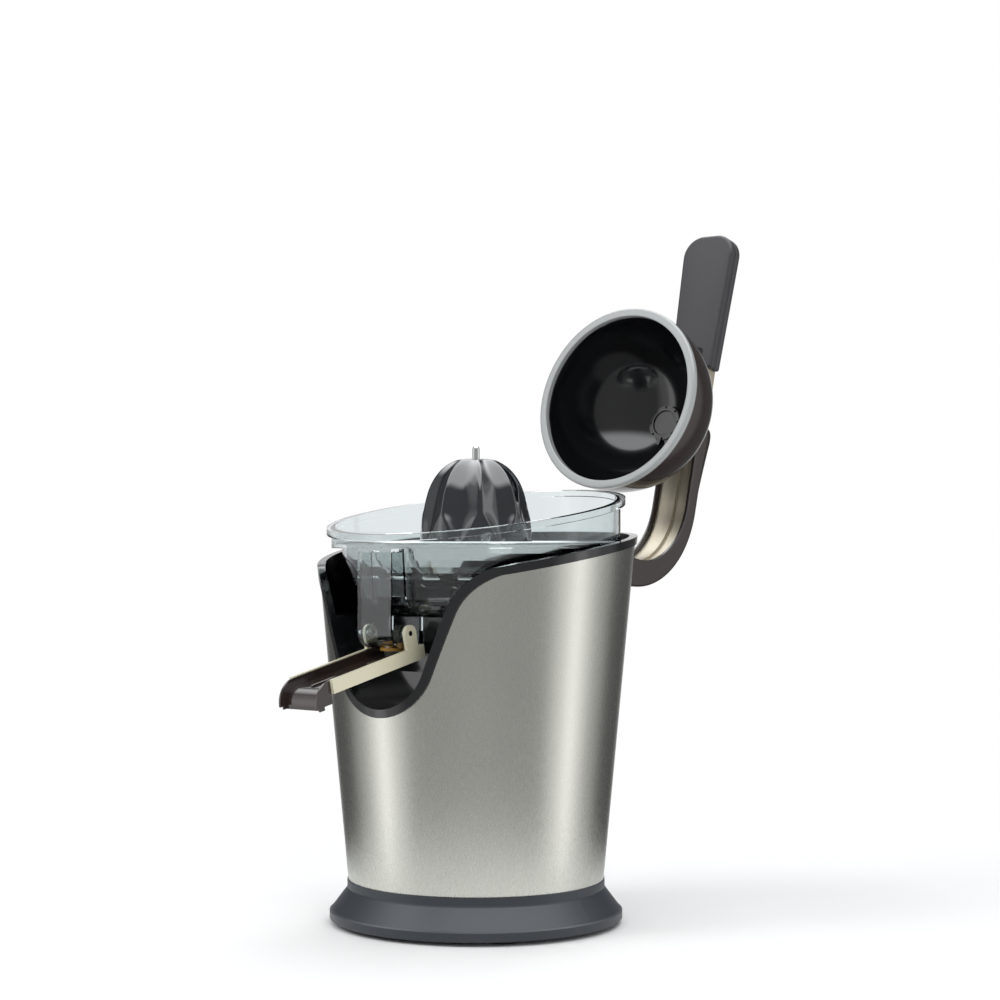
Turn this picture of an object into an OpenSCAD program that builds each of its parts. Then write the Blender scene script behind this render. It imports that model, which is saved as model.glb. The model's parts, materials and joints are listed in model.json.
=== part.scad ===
// Citrus press juicer: a motor-driven cone, a clear juice bowl with a tilting spout,
// and a lever that brings a press dome down over the fruit.
// Millimetres, +Z up. The origin is on the drive axis, on the surface that the feet
// stand on. The spout points along -Y, the lever's hinge is on the +Y side.
// At rest the lever is open. Its pieces are drawn closed, then turned open.

/* [Body] */
// Radius of the steel body at its rim
body_top_r = 99; // [96:0.5:101]
// Radius of the steel body where it meets the base
body_foot_r = 79; // [76:0.5:83]
// Height of the deck that the bowl stands on
deck_h = 190; // [180:1:200]
// How far the rim at the back stands over the deck
rim_rise = 51; // [46:1:54]
// Thickness of the steel skin
skin_t = 1; // [0.6:0.1:1.4]
// Wall of the black inner shell
shell_t = 2.6; // [2:0.1:3]
// Height of the black rim band
rim_band_h = 5; // [4:0.5:7]
// How far the rim band stands proud of the skin
rim_proud = 1.2; // [0.6:0.1:1.6]
// Radius of the long arc that the rim follows in side view
rim_arc_r = 1000; // [700:10:1600]
// How far the spout cut-out reaches down under the deck
cut_drop = 54; // [48:1:60]
// Radius of the bottom of the spout cut-out
cut_r = 34; // [30:1:38]
// Half width of the cut-out where it flows into the rim
cut_reach = 72; // [68:1:78]

/* [Base] */
// Radius of the base band
base_r = 90.5; // [88:0.5:96]
// Height that the feet lift the base
foot_h = 2.5; // [2:0.5:5]
// Radius of one rubber foot
foot_r = 11; // [8:1:13]
// Height of the upright band of the base
band_h = 5.5; // [4:0.5:8]
// Height of the top of the base collar
collar_top = 27; // [24:1:32]
// Wall of the base moulding
base_t = 3; // [2:0.5:4]

/* [Juice bowl] */
// Gap between the bowl's collar and the body around it, at the sieve's seat
bowl_gap = 4.8; // [4:0.1:6]
// How far the bowl's collar stands out over the wall under it
collar_step = 6.5; // [5:0.5:8]
// Wall of the bowl
bowl_t = 2.2; // [1.6:0.1:2.6]
// Height of the sieve's seat above the bowl's underside
seat_h = 43; // [38:1:46]
// Height of the bowl's rim above the seat, on the axis
bowl_rim_h = 20.5; // [18:0.5:22]
// How far the bowl's chute stands in front of its collar
chute_out = 3.5; // [2:0.5:5]
// Slope of the bowl's rim, in degrees
bowl_tilt = 9; // [4:0.2:9.6]
// Height of the bowl's centre tube above its underside
tube_h = 44; // [34:1:44]

/* [Spout] */
// Outer width of the spout
spout_w = 34; // [32:1:42]
// Length of the spout in front of its pivot
spout_l = 70; // [55:1:80]
// Depth of the spout's beak
beak_h = 11; // [8:0.5:14]
// Fall of the spout's floor, in degrees
spout_fall = 12.4; // [6:0.2:15]
// Height of the spout's side walls
spout_wall_h = 5; // [4:0.5:6]
// How far the spout tips up to stop the drip, in degrees
spout_tip_up = 30; // [10:1:34]

/* [Sieve] */
// Gap between the sieve's wall and the bowl's wall
sieve_gap = 1.3; // [1:0.1:3]
// Depth of the sieve
sieve_depth = 26; // [22:1:27]
// Thickness of the sieve's sheet
sheet_t = 0.8; // [0.5:0.1:1]
// Gap between the sieve's flange and the bowl's collar
flange_gap = 0.8; // [0.5:0.1:2]
// Number of drain holes round the sieve's lower edge
drain_count = 20; // [12:1:28]

/* [Reamers] */
// Radius of the small reamer's castellated ring
ring_r = 35; // [33:0.5:38]
// Height of the small reamer's ring
ring_h = 12; // [10:0.5:14]
// Radius of the small cone
small_r = 24; // [23:0.5:25]
// Height of the small reamer
small_h = 66; // [60:1:70]
// Distance between the tips of the two pulp wings
wing_span = 110; // [96:1:112]
// Radius of the large reamer at its foot
large_r = 35; // [34:0.5:37]
// Height of the large reamer
large_h = 63; // [60:1:66]
// Ribs on each reamer
rib_count = 8; // [6:1:10]
// Depth of the large reamer's flutes
flute_depth = 4.4; // [2.5:0.1:5]
// Radius of the steel pin on the large reamer
tip_pin_r = 2.2; // [1.5:0.1:2.6]
// Height of the steel pin above the large reamer
tip_pin_h = 8; // [5:0.5:9]

/* [Press dome] */
// Outer radius of the press dome
dome_r = 62.5; // [58:0.5:65]
// Wall of the dome's outer shell
dome_t = 2.2; // [1.6:0.1:2.8]
// Height of the straight wall under the dome's round part
dome_skirt_h = 5.5; // [3:0.5:8]
// Height of the dome's rim over the sieve's seat when the lever is closed
dome_lift = 6; // [5:0.5:10]

/* [Lever] */
// Distance of the hinge outside the body's rim
hinge_out = 9; // [9:0.5:15]
// How far the hinge lies under the rim at the back
hinge_drop = 12; // [10:1:14]
// Radius of the hinge pin
hinge_pin_r = 3; // [2:0.25:4]
// Angle that the lever opens by, in degrees
lever_open = 104.6; // [95:0.2:110]
// Width of the lever's arm
arm_w = 30; // [26:1:34]
// Thickness of the lever's arm over the dome, seen from the side
arm_t = 12; // [11:0.5:14]
// Radius of the outside of the arm's bend
bend_out = 67.5; // [60:0.5:75]
// Radius of the inside of the arm's bend
bend_in = 50; // [44:0.5:54]
// Gap between the dome and the arm above it
arm_gap = 12; // [8:0.5:14]
// Length of the grip
grip_l = 99; // [80:1:110]
// Width of the grip near its tip
grip_w = 42.5; // [38:0.5:46]
// Width of the grip at its root
grip_root_w = 34.5; // [32:0.5:38]
// Thickness of the grip
grip_t = 12; // [11:0.5:16]

/* [Drive] */
// Radius of the drive rod
rod_r = 8.5; // [7.5:0.25:9]
// Radius of the collar under the rod
rod_collar_r = 10; // [9.5:0.25:10.5]
// Travel of the drive shaft that starts the motor
press_travel = 2.5; // [1.5:0.25:3]
// Module of the final gear pair
final_module = 1.5; // [1.25:0.25:1.75]
// Teeth of the output gear
output_teeth = 40; // [36:2:44]
// Teeth of the small gear on the intermediate gear
inner_teeth = 14; // [13:1:16]
// Teeth of the large gear on the intermediate gear
outer_teeth = 42; // [36:1:46]
// Teeth of the motor pinion
pinion_teeth = 12; // [11:1:14]
// Radius of the motor's stator
stator_r = 33; // [30:1:36]
// Height of the motor's iron stack
stack_h = 38; // [30:1:44]

/* [Hidden] */

$fn = 96;
eps = 0.01;      // cuts run this far past a face
overlap = 0.03;  // tangent shapes are joined by this much
fit = 0.15;      // gap between pieces that slide together when the body is built
run = 0.05;      // radial running clearance of a shaft in its bore
reach = 160;     // half size of the blocks that cut the body

black = [0.09, 0.10, 0.12];
slate = [0.25, 0.27, 0.30];
steel = [0.75, 0.75, 0.72];
brown = [0.20, 0.17, 0.16];
clear = [0.85, 0.90, 0.92, 0.4];
iron = [0.45, 0.46, 0.48];
copper = [0.72, 0.42, 0.22];
nylon = [0.90, 0.89, 0.84];
amber = [0.85, 0.62, 0.22];

// ---- heights that follow from the sizes above
rim_h = deck_h + rim_rise;
cut_h = deck_h - cut_drop;
seat_z = deck_h + seat_h;                    // the sieve's flange rests here
sieve_floor_z = seat_z - sieve_depth;        // underside of the sieve's floor
ring_gap = 0.8;                              // left under the ring when it is pressed
ring_z = sieve_floor_z + sheet_t + press_travel + ring_gap;
large_z = ring_z + ring_h;                   // the large reamer stands on the ring
rod_top = ring_z + small_h - 7;
bowl_rim_z = seat_z + bowl_rim_h;
dome_rim_z = seat_z + dome_lift;
dome_centre_z = dome_rim_z + dome_skirt_h;
dome_top_z = dome_centre_z + dome_r;
arm_under_z = dome_top_z + arm_gap;
arm_top_z = arm_under_z + arm_t;
hinge_y = body_top_r + hinge_out;
hinge_z = rim_h - hinge_drop;

// ---- small tools

module tube(r_out, r_in, h) {
  difference() {
    cylinder(h = h, r = r_out);
    translate([0, 0, -1]) cylinder(h = h + 2, r = r_in);
  }
}

module at_all(places) {
  for (p = places) translate(p) children();
}

// draws a shape given as (Y, Z), w wide along X and centred on X = 0
module across(w) {
  rotate([90, 0, 90]) translate([0, 0, -w / 2]) linear_extrude(height = w) children();
}

module both_sides() {
  children();
  mirror([1, 0, 0]) children();
}

// ---- the body's cone and the rim that waves round it

function skin_r(z) =
  body_foot_r + (z - collar_top) * (body_top_r - body_foot_r) / (rim_h - collar_top);

module body_cone(inset, z0, z1) {
  translate([0, 0, z0])
    cylinder(h = z1 - z0, r1 = skin_r(z0) - inset, r2 = skin_r(z1) - inset);
}

module cone_wall(outset, inset, z0, z1) {
  difference() {
    body_cone(-outset, z0, z1);
    body_cone(inset, z0 - 1, z1 + 1);
  }
}

cone_top = rim_h + 12;
crown_y = body_top_r + 41;                   // where the long arc is level
crown_z = rim_h - sqrt(pow(rim_arc_r, 2) - pow(crown_y - body_top_r, 2)) + rim_arc_r;

function side_line(y) =
  crown_z - rim_arc_r + sqrt(pow(rim_arc_r, 2) - pow(crown_y - y, 2));

// The cut-out in front view: a round bottom, a leaning flank and a flare that ends on
// the rim's long arc. The flank's length and the flare's radius solve that end point.
flank_lean = 22;
flare_end = 24;
cut_away = 30;                               // past its end the outline only has to clear
cut_start = 20;                              // the outline cuts in front of this
cut_c = cut_h + cut_r;
flank_foot = [cut_r * cos(flank_lean), cut_c - cut_r * sin(flank_lean)];
cut_end = [cut_reach, side_line(-sqrt(pow(body_top_r - 2, 2) - pow(cut_reach, 2)))];
flank_dir = [sin(flank_lean), cos(flank_lean)];
flank_side = [cos(flank_lean), -sin(flank_lean)];
flare_dir = flank_side + [-sin(flare_end), cos(flare_end)];
rise = cut_end - flank_foot;
flare_det = flank_dir[0] * flare_dir[1] - flank_dir[1] * flare_dir[0];
flare_r = (flank_dir[0] * rise[1] - flank_dir[1] * rise[0]) / flare_det;
flank_l = (rise[0] * flare_dir[1] - rise[1] * flare_dir[0]) / flare_det;
flare_c = flank_foot + flank_l * flank_dir + flare_r * flank_side;

// the open region in front view, grown by g, as half of a symmetric outline
module cut_half(g) {
  flare_in = flare_r - g - overlap;
  flare_tip = flare_c + flare_in * [-sin(flare_end), cos(flare_end)];
  difference() {
    polygon([
      [0, cut_c],
      [0, cut_c] + (cut_r + g - overlap) * flank_side,
      flare_c - flare_in * flank_side,
      flare_c,
      flare_tip,
      flare_tip + reach * [cos(cut_away), sin(cut_away)],
      [0, rim_h + reach]
    ]);
    translate(flare_c) circle(r = flare_r - g);
  }
}

module cut_outline(g) {
  cut_half(g);
  mirror([1, 0]) cut_half(g);
  translate([0, cut_c]) circle(r = cut_r + g);
}

// cuts its children off along the rim line, which is g lower here
module waved(g) {
  difference() {
    difference() {
      children();
      rotate([90, 0, 0]) translate([0, 0, cut_start]) linear_extrude(height = reach)
        cut_outline(g);
    }
    difference() {
      translate([-reach, -reach, cut_h + 40]) cube([2 * reach, 2 * reach, reach]);
      rotate([90, 0, 90]) translate([crown_y, crown_z - rim_arc_r, -reach - 1])
        cylinder(h = 2 * reach + 2, r = rim_arc_r - g, $fn = 720);
    }
  }
}

// ---- body

module steel_skin() color(steel) {
  difference() {
    waved(rim_band_h) cone_wall(0, skin_t, collar_top, cone_top);
    hinge_screw_holes(skin_t);
  }
}

shell_in = skin_t + fit + shell_t;           // inner face of the shell from the skin
pocket_y = 52;                               // back wall of the pocket under the spout
deck_t = 3;
shell_foot = cut_h - 20;
bush_h = 11;
bush_r = 11;
hub_r = 8;
boss_r = 16;
pillar_r = 5;
plate_t = 3;
plate_r_out = 69;
gear_room = 38;                              // between the gearbox plate and the deck
plate_z = deck_h - gear_room - plate_t;
pillar_ring = plate_r_out - 7;
pillars = [for (a = [30, 125, 215, 330]) pillar_ring * [cos(a), sin(a), 0]];
screw_r = 1.6;

module pocket_wall() {
  intersection() {
    difference() {
      rotate([90, 0, 0]) translate([0, 0, pocket_y - shell_t])
        linear_extrude(height = reach - pocket_y) cut_outline(shell_t);
      rotate([90, 0, 0]) translate([0, 0, pocket_y])
        linear_extrude(height = reach) cut_outline(0);
    }
    body_cone(skin_t + fit, cut_h - 10, deck_h);
  }
}

module pocket_step() {
  intersection() {
    translate([-reach / 2, -pocket_y - 9, cut_h - 5]) cube([reach, 10, 26]);
    rotate([90, 0, 0]) linear_extrude(height = reach) cut_outline(eps);
  }
}

module deck() {
  difference() {
    translate([0, 0, deck_h - deck_t])
      cylinder(h = deck_t, r1 = skin_r(deck_h - deck_t) - shell_in + 1,
               r2 = skin_r(deck_h) - shell_in + 1);
    rotate([90, 0, 0]) translate([0, 0, pocket_y])
      linear_extrude(height = reach) cut_outline(0);
  }
}

// the inner wall, with the rim band standing out where the skin ends
module shell_wall() {
  difference() {
    waved(0) cone_wall(rim_proud, shell_in, shell_foot, cone_top);
    waved(rim_band_h) cone_wall(rim_proud + 1, skin_t + fit, shell_foot - 1, cone_top + 1);
  }
}

module inner_shell() color(black) {
  difference() {
    union() {
      shell_wall();
      deck();
      pocket_wall();
      pocket_step();
      translate([0, 0, deck_h - bush_h - 1]) cylinder(h = bush_h, r = boss_r);
      at_all(pillars) translate([0, 0, plate_z + plate_t])
        cylinder(h = deck_h - plate_z - plate_t - 1, r = pillar_r);
      translate([0, idler_y, high_gear_z + high_gear_h + 0.6])
        cylinder(h = deck_h - 1 - high_gear_z - high_gear_h, r = axle_r + 2.5);
    }
    translate([0, idler_y, 0]) cylinder(h = deck_h - deck_t, r = axle_r);
    translate([0, 0, deck_h - bush_h - 2]) cylinder(h = bush_h + 4, r = bush_r);
    at_all(pillars) translate([0, 0, plate_z]) cylinder(h = 20, r = screw_r);
    hinge_screw_holes(shell_in);
  }
}

// ---- base

base_foot = foot_h;
flare_top = foot_h + band_h + 13;
collar_r = body_foot_r + 0.6;
plate_r = base_r - base_t - 0.5;
screw_ring = 66;
screw_angles = [12, 102, 192, 282];
gland_r = 6;
gland_z = foot_h + band_h + 6;

module base_profile() {
  polygon([
    [base_r - base_t, base_foot], [base_r - 0.8, base_foot], [base_r, base_foot + 0.8],
    [base_r, base_foot + band_h], [base_r - 1.2, base_foot + band_h + 0.8],
    [collar_r + 0.4, flare_top], [collar_r, flare_top + 1], [collar_r, collar_top],
    [body_foot_r - skin_t - fit, collar_top],
    [body_foot_r - skin_t - fit, collar_top + 8],
    [body_foot_r - skin_t - base_t, collar_top + 8],
    [body_foot_r - skin_t - base_t, flare_top],
    [base_r - base_t, base_foot + band_h]
  ]);
}

module base_ring() color(slate) {
  difference() {
    union() {
      rotate_extrude() base_profile();
      for (a = screw_angles) rotate([0, 0, a]) {
        translate([screw_ring, 0, base_foot + 2.5]) cylinder(h = 20, r = 4.5);
        translate([screw_ring + 3, -1.5, base_foot + 12])
          cube([body_foot_r - base_t - screw_ring - 3, 3, 10.5]);
      }
    }
    for (a = screw_angles) rotate([0, 0, a])
      translate([screw_ring, 0, base_foot - 1]) cylinder(h = 18, r = screw_r);
    translate([0, base_r - 20, gland_z]) rotate([-90, 0, 0]) {
      cylinder(h = 30, r = gland_r);
      translate([0, 0, 17]) cylinder(h = 10, r = gland_r + 1.5);
    }
  }
}

plate_thick = 2.5;
foot_ring = 72;
foot_angles = [38, 142, 218, 322];
stem_r = 3;

module base_plate() color(slate) {
  difference() {
    translate([0, 0, base_foot]) cylinder(h = plate_thick, r = plate_r);
    for (a = screw_angles) rotate([0, 0, a]) translate([screw_ring, 0, 0]) {
      translate([0, 0, base_foot - 1]) cylinder(h = plate_thick + 2, r = 1.8);
      translate([0, 0, base_foot - 1]) cylinder(h = 2.2, r = 3.6);
    }
    for (a = foot_angles) rotate([0, 0, a])
      translate([foot_ring, 0, base_foot - 1]) cylinder(h = plate_thick + 2, r = stem_r);
    for (x = [-30 : 10 : 30])
      translate([x - 1.5, -18, base_foot - 1]) cube([3, 36, plate_thick + 2]);
  }
}

module rubber_feet() color(black) {
  for (a = foot_angles) rotate([0, 0, a]) translate([foot_ring, 0, 0]) {
    cylinder(h = 1, r1 = foot_r - 1, r2 = foot_r);
    translate([0, 0, 1]) cylinder(h = base_foot - 1, r = foot_r);
    translate([0, 0, base_foot]) cylinder(h = plate_thick + 0.8, r = stem_r - run);
  }
}

module base_screws() color(iron) {
  for (a = screw_angles) rotate([0, 0, a]) translate([screw_ring, 0, base_foot]) {
    cylinder(h = 1.2, r = 3.3);
    translate([0, 0, 1.2]) cylinder(h = 13, r = screw_r - run);
  }
}

module cable_gland() color(black) {
  translate([0, base_r - 14, gland_z]) rotate([-90, 0, 0]) {
    tube(gland_r - run, 3.4, 14);
    translate([0, 0, 11]) tube(gland_r + 1.5, 3.4, 4);
  }
}

module terminal_block() color(nylon) {
  difference() {
    translate([-14, 46, base_foot + plate_thick]) cube([28, 12, 11]);
    for (x = [-9 : 6 : 9])
      translate([x, 52, base_foot + plate_thick + 3]) cylinder(h = 12, r = 1.9);
  }
}

// ---- hinge

ear_t = 6;
ear_gap = 0.5;                               // each side of the arm
ear_in = arm_w / 2 + ear_gap;
barrel_r = hinge_pin_r + 5.8;
stop_gap = 0.2;
ear_r = hinge_pin_r + 8;
web_top = hinge_z - barrel_r - 2.6;
web_foot = web_top - 14;
hinge_screw_z = web_top - 7;
hinge_screw_x = 10;

module hinge_screw_holes(inset) {
  both_sides() translate([hinge_screw_x, skin_r(hinge_screw_z) - inset - 3, hinge_screw_z])
    rotate([-90, 0, 0]) cylinder(h = inset + 8, r = 2.1);
}

// turns a closed lever piece to its place when the lever is open
module lever_pose() {
  translate([0, hinge_y, hinge_z]) rotate([-lever_open, 0, 0])
    translate([0, -hinge_y, -hinge_z]) children();
}

module hinge_bracket() color(slate) {
  difference() {
    union() {
      both_sides() translate([ear_in + ear_t / 2, 0, 0]) across(ear_t) {
        translate([hinge_y, hinge_z]) circle(r = ear_r);
        polygon([[hinge_y - 26, hinge_z - ear_r - 14], [hinge_y - 26, hinge_z + 7],
                 [hinge_y - 3, hinge_z + ear_r - 0.5], [hinge_y + 7, hinge_z - 8.4],
                 [hinge_y + 8, web_foot + 4], [hinge_y + 4, web_foot]]);
      }
      across(2 * ear_in + 1)
        polygon([[hinge_y - 26, web_foot], [hinge_y - 26, web_top], [hinge_y + 1, web_top],
                 [hinge_y + 8, web_top - 3.4], [hinge_y + 8, web_foot + 4],
                 [hinge_y + 4, web_foot]]);
      lever_pose() translate([-ear_in - ear_t, hinge_y + barrel_r + stop_gap, hinge_z + 5])
        cube([2 * (ear_in + ear_t), 7, 11]);
    }
    body_cone(0, collar_top, cone_top);
    body_cone(-rim_proud - fit, rim_h - rim_band_h - 1.5, cone_top);
    translate([-reach / 2, hinge_y, hinge_z]) rotate([0, 90, 0])
      cylinder(h = reach, r = hinge_pin_r);
    both_sides() translate([hinge_screw_x, hinge_y - 30, hinge_screw_z])
      rotate([-90, 0, 0]) cylinder(h = 30, r = 2.05);
  }
}

module hinge_pin() color(iron) {
  translate([-ear_in - ear_t, hinge_y, hinge_z]) rotate([0, 90, 0])
    cylinder(h = 2 * (ear_in + ear_t), r = hinge_pin_r);
  both_sides() translate([ear_in + ear_t, hinge_y, hinge_z]) rotate([0, 90, 0])
    cylinder(h = 1.2, r = hinge_pin_r + 2);
}

module hinge_screws() color(iron) {
  head_y = skin_r(hinge_screw_z) - shell_in - 1.4;
  both_sides() translate([hinge_screw_x, head_y, hinge_screw_z]) rotate([-90, 0, 0]) {
    translate([0, 0, -2]) cylinder(h = 2, r = 3.6);
    cylinder(h = 12, r = 2);
  }
}

// ---- gears: involute teeth, 25 degree pressure angle, stub height

pressure = 25;

function involute(a) = tan(a) * 180 / PI - a;

function tooth_half(m, n, r) =
  let (pitch = m * n / 2, base = pitch * cos(pressure))
  90 / n - 0.12 * 180 / PI / pitch + involute(pressure) - involute(acos(min(1, base / r)));

function tooth_radii(m, n, steps) =
  let (low = max(m * n / 2 * cos(pressure), m * (n / 2 - 1)), top = m * (n / 2 + 0.8))
  [for (i = [0 : steps]) low + (top - low) * i / steps];

function polar(r, a) = [r * cos(a), r * sin(a)];

function tooth_points(m, n, at) =
  let (radii = tooth_radii(m, n, 3), root = m * (n / 2 - 1.05))
  concat(
    [polar(root, at - tooth_half(m, n, radii[0]) - 0.5)],
    [for (r = radii) polar(r, at - tooth_half(m, n, r))],
    [for (i = [3 : -1 : 0]) polar(radii[i], at + tooth_half(m, n, radii[i]))],
    [polar(root, at + tooth_half(m, n, radii[0]) + 0.5)]
  );

module gear(m, n, h) {
  linear_extrude(height = h)
    polygon([for (i = [0 : n - 1]) each tooth_points(m, n, 360 * i / n)]);
}

fast_module = 1;
idler_y = final_module * (output_teeth + inner_teeth) / 2;
mesh_angle = -40;                            // from the idler to the motor's pinion
motor_distance = fast_module * (outer_teeth + pinion_teeth) / 2;
motor_x = motor_distance * cos(mesh_angle);
motor_y = idler_y + motor_distance * sin(mesh_angle);
low_gear_z = plate_z + plate_t + 3;
low_gear_h = 8;
high_gear_z = low_gear_z + low_gear_h + 2;
high_gear_h = 10;
axle_r = 3;
hex_r = 5;
hex_gap = 0.12;

module on_motor_axis(z) {
  translate([motor_x, motor_y, z]) children();
}

module output_gear() color(nylon) {
  difference() {
    union() {
      translate([0, 0, high_gear_z]) gear(final_module, output_teeth, high_gear_h);
      translate([0, 0, high_gear_z + high_gear_h - 1])
        cylinder(h = deck_h - 1 - high_gear_z - high_gear_h + 1, r = hub_r);
    }
    translate([0, 0, high_gear_z - 1]) cylinder(h = 40, r = hex_r + hex_gap, $fn = 6);
    for (a = [0 : 60 : 300]) rotate([0, 0, a])
      translate([hub_r + 11, 0, high_gear_z - 1]) cylinder(h = high_gear_h + 2, r = 5);
  }
}

module idler_gear() color(nylon) {
  translate([0, idler_y, 0]) difference() {
    union() {
      translate([0, 0, low_gear_z]) rotate([0, 0, mesh_angle])
        gear(fast_module, outer_teeth, low_gear_h);
      translate([0, 0, low_gear_z + low_gear_h - 1]) rotate([0, 0, 270 + 180 / inner_teeth])
        gear(final_module, inner_teeth, high_gear_h + 3);
    }
    translate([0, 0, low_gear_z - 1]) cylinder(h = 40, r = axle_r + run);
  }
}

module idler_axle() color(iron) {
  translate([0, idler_y, plate_z + plate_t]) {
    cylinder(h = deck_h - deck_t - plate_z - plate_t, r = axle_r);
    cylinder(h = low_gear_z - plate_z - plate_t - 0.2, r = axle_r + 2.5);
  }
}

module motor_pinion() color(iron) {
  on_motor_axis(low_gear_z - 1) difference() {
    rotate([0, 0, 180 + mesh_angle + 180 / pinion_teeth])
      gear(fast_module, pinion_teeth, low_gear_h + 1);
    translate([0, 0, -1]) cylinder(h = 20, r = motor_axle_r);
  }
}

module gearbox_plate() color(iron) {
  difference() {
    translate([0, 0, plate_z]) cylinder(h = plate_t, r = plate_r_out);
    translate([-reach, -reach - pocket_y + 8, plate_z - 1]) cube([2 * reach, reach, 10]);
    at_all(pillars) translate([0, 0, plate_z - 1]) cylinder(h = 10, r = 2);
    on_motor_axis(plate_z - 1) cylinder(h = 10, r = bearing_r + 1);
    translate([0, 0, plate_z - 1]) cylinder(h = 10, r = 3);
  }
}

module gearbox_screws() color(iron) {
  at_all(pillars) {
    translate([0, 0, plate_z - 2]) cylinder(h = 2, r = 3.2);
    translate([0, 0, plate_z]) cylinder(h = 14, r = screw_r - run);
  }
}

module shaft_bush() color(iron) {
  translate([0, 0, deck_h - bush_h - 1]) tube(bush_r, hub_r + run, bush_h + 1);
}

module shaft_seal() color(black) {
  translate([0, 0, deck_h]) tube(bush_r + 2, rod_collar_r + 0.3, 6);
}

// ---- start switch

plunger_r = 2;
switch_h = 10;
clip_z = high_gear_z - 2;
spindle_foot = clip_z - 5;

module switch_body() color(black) {
  difference() {
    translate([-10, -5.5, plate_z - switch_h]) cube([20, 11, switch_h]);
    translate([0, 0, plate_z - 6]) cylinder(h = 7, r = plunger_r + 0.1);
  }
}

module switch_plunger() color(amber) {
  translate([0, 0, plate_z - 3]) cylinder(h = spindle_foot - plate_z + 3 - 0.1, r = plunger_r);
}

// ---- motor

motor_axle_r = 2.5;
bearing_r = 6;
motor_top = plate_z - 15;
stack_z = motor_top - 22 - stack_h;
motor_foot = stack_z - 26;
rotor_r = stator_r * 0.52;
air_gap = 0.5;

module motor_brackets() color(iron) {
  on_motor_axis(0) {
    for (z = [motor_foot, motor_top]) translate([0, 0, z])
      tube(stator_r, bearing_r, 3);
    for (a = [0 : 90 : 270]) {
      rotate([0, 0, a]) translate([stator_r - 4, 0, motor_top + 3])
        cylinder(h = plate_z - motor_top - 3, r = 3);
      rotate([0, 0, a + 45]) translate([stator_r - 3.2, 0, motor_foot + 3])
        cylinder(h = motor_top - motor_foot - 3, r = 1.8);
    }
  }
}

module stator_core() color(iron) {
  on_motor_axis(stack_z) difference() {
    intersection() {
      cylinder(h = stack_h, r = stator_r);
      translate([-stator_r, -stator_r + 3, 0]) cube([2 * stator_r, 2 * stator_r - 6, stack_h]);
    }
    translate([0, 0, -1]) cylinder(h = stack_h + 2, r = rotor_r + air_gap);
    both_sides() translate([rotor_r - 6, -coil_h / 2, -1])
      cube([coil_w + 6, coil_h, stack_h + 2]);
    for (a = [0 : 90 : 270]) rotate([0, 0, a + 45])
      translate([stator_r - 3.2, 0, -1]) cylinder(h = stack_h + 2, r = 1.8 + fit);
  }
}

coil_w = stator_r * 0.24;
coil_h = stator_r * 0.9;

module field_coils() color(copper) {
  on_motor_axis(0) both_sides()
    translate([rotor_r + air_gap + 0.8, -coil_h / 2 + fit, stack_z - 5])
      difference() {
        cube([coil_w - 1.6, coil_h - 2 * fit, stack_h + 10]);
        translate([-1, coil_h / 2 - 2, 6]) cube([coil_w, 4 - 2 * fit, stack_h - 2]);
      }
}

module motor_bearings() color(copper) {
  on_motor_axis(0) for (z = [motor_foot - 2, motor_top - 1])
    translate([0, 0, z]) tube(bearing_r, motor_axle_r + run, 7);
}

module motor_shaft() color(iron) {
  on_motor_axis(motor_foot - 4)
    cylinder(h = low_gear_z + low_gear_h - motor_foot + 4, r = motor_axle_r);
}

module armature_core() color(iron) {
  on_motor_axis(stack_z) difference() {
    cylinder(h = stack_h, r = rotor_r);
    translate([0, 0, -1]) cylinder(h = stack_h + 2, r = motor_axle_r);
    for (a = [0 : 30 : 330]) rotate([0, 0, a])
      translate([rotor_r - 5, -0.9, -1]) cube([6, 1.8, stack_h + 2]);
  }
}

commutator_z = stack_z + stack_h + 5;
commutator_r = 8;
commutator_h = 12;
brush_l = 12;
brush_w = 4.8;

module commutator() color(copper) {
  on_motor_axis(commutator_z) tube(commutator_r, motor_axle_r, commutator_h);
}

module brush_holders() color(nylon) {
  on_motor_axis(commutator_z + 2) for (a = [90, 270]) rotate([0, 0, a])
    translate([commutator_r + 2, -brush_w / 2 - 1.6, 0]) difference() {
      cube([brush_l + 4, brush_w + 3.2, brush_w + 3.2]);
      translate([-1, 1.5, 1.5]) cube([brush_l + 6, brush_w + 0.2, brush_w + 0.2]);
    }
}

module carbon_brushes() color(black) {
  on_motor_axis(commutator_z + 3.5) for (a = [90, 270]) rotate([0, 0, a])
    translate([commutator_r + 0.3, -brush_w / 2, 0.1]) cube([brush_l, brush_w, brush_w]);
}

module cooling_fan() color(nylon) {
  on_motor_axis(motor_foot + 8) {
    tube(stator_r * 0.72, motor_axle_r, 1.6);
    for (a = [0 : 36 : 324]) rotate([0, 0, a])
      translate([9, -0.7, 1]) cube([stator_r * 0.72 - 10, 1.4, 9]);
  }
}

// ---- drive shaft

rod_collar_top = ring_z + 27;
rod_collar_foot = deck_h + 5.5;
insert_h = 20;                               // the steel insert that the ribs turn
rib_foot = rod_collar_top + 3;
rib_top = rod_collar_top + insert_h - 0.5;

module drive_shaft() color(iron) {
  translate([0, 0, rod_collar_foot])
    cylinder(h = rod_collar_top - rod_collar_foot, r = rod_collar_r);
  translate([0, 0, rod_collar_top - 1])
    cylinder(h = rod_top - rod_r - rod_collar_top + 1, r = rod_r);
  translate([0, 0, rod_top - rod_r]) sphere(r = rod_r);
  both_sides() translate([rod_r - 1, -1.5, rib_foot]) cube([2.4, 3, rib_top - rib_foot]);
  translate([0, 0, spindle_foot])
    cylinder(h = rod_collar_foot - spindle_foot + 1, r = hex_r, $fn = 6);
}

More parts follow.
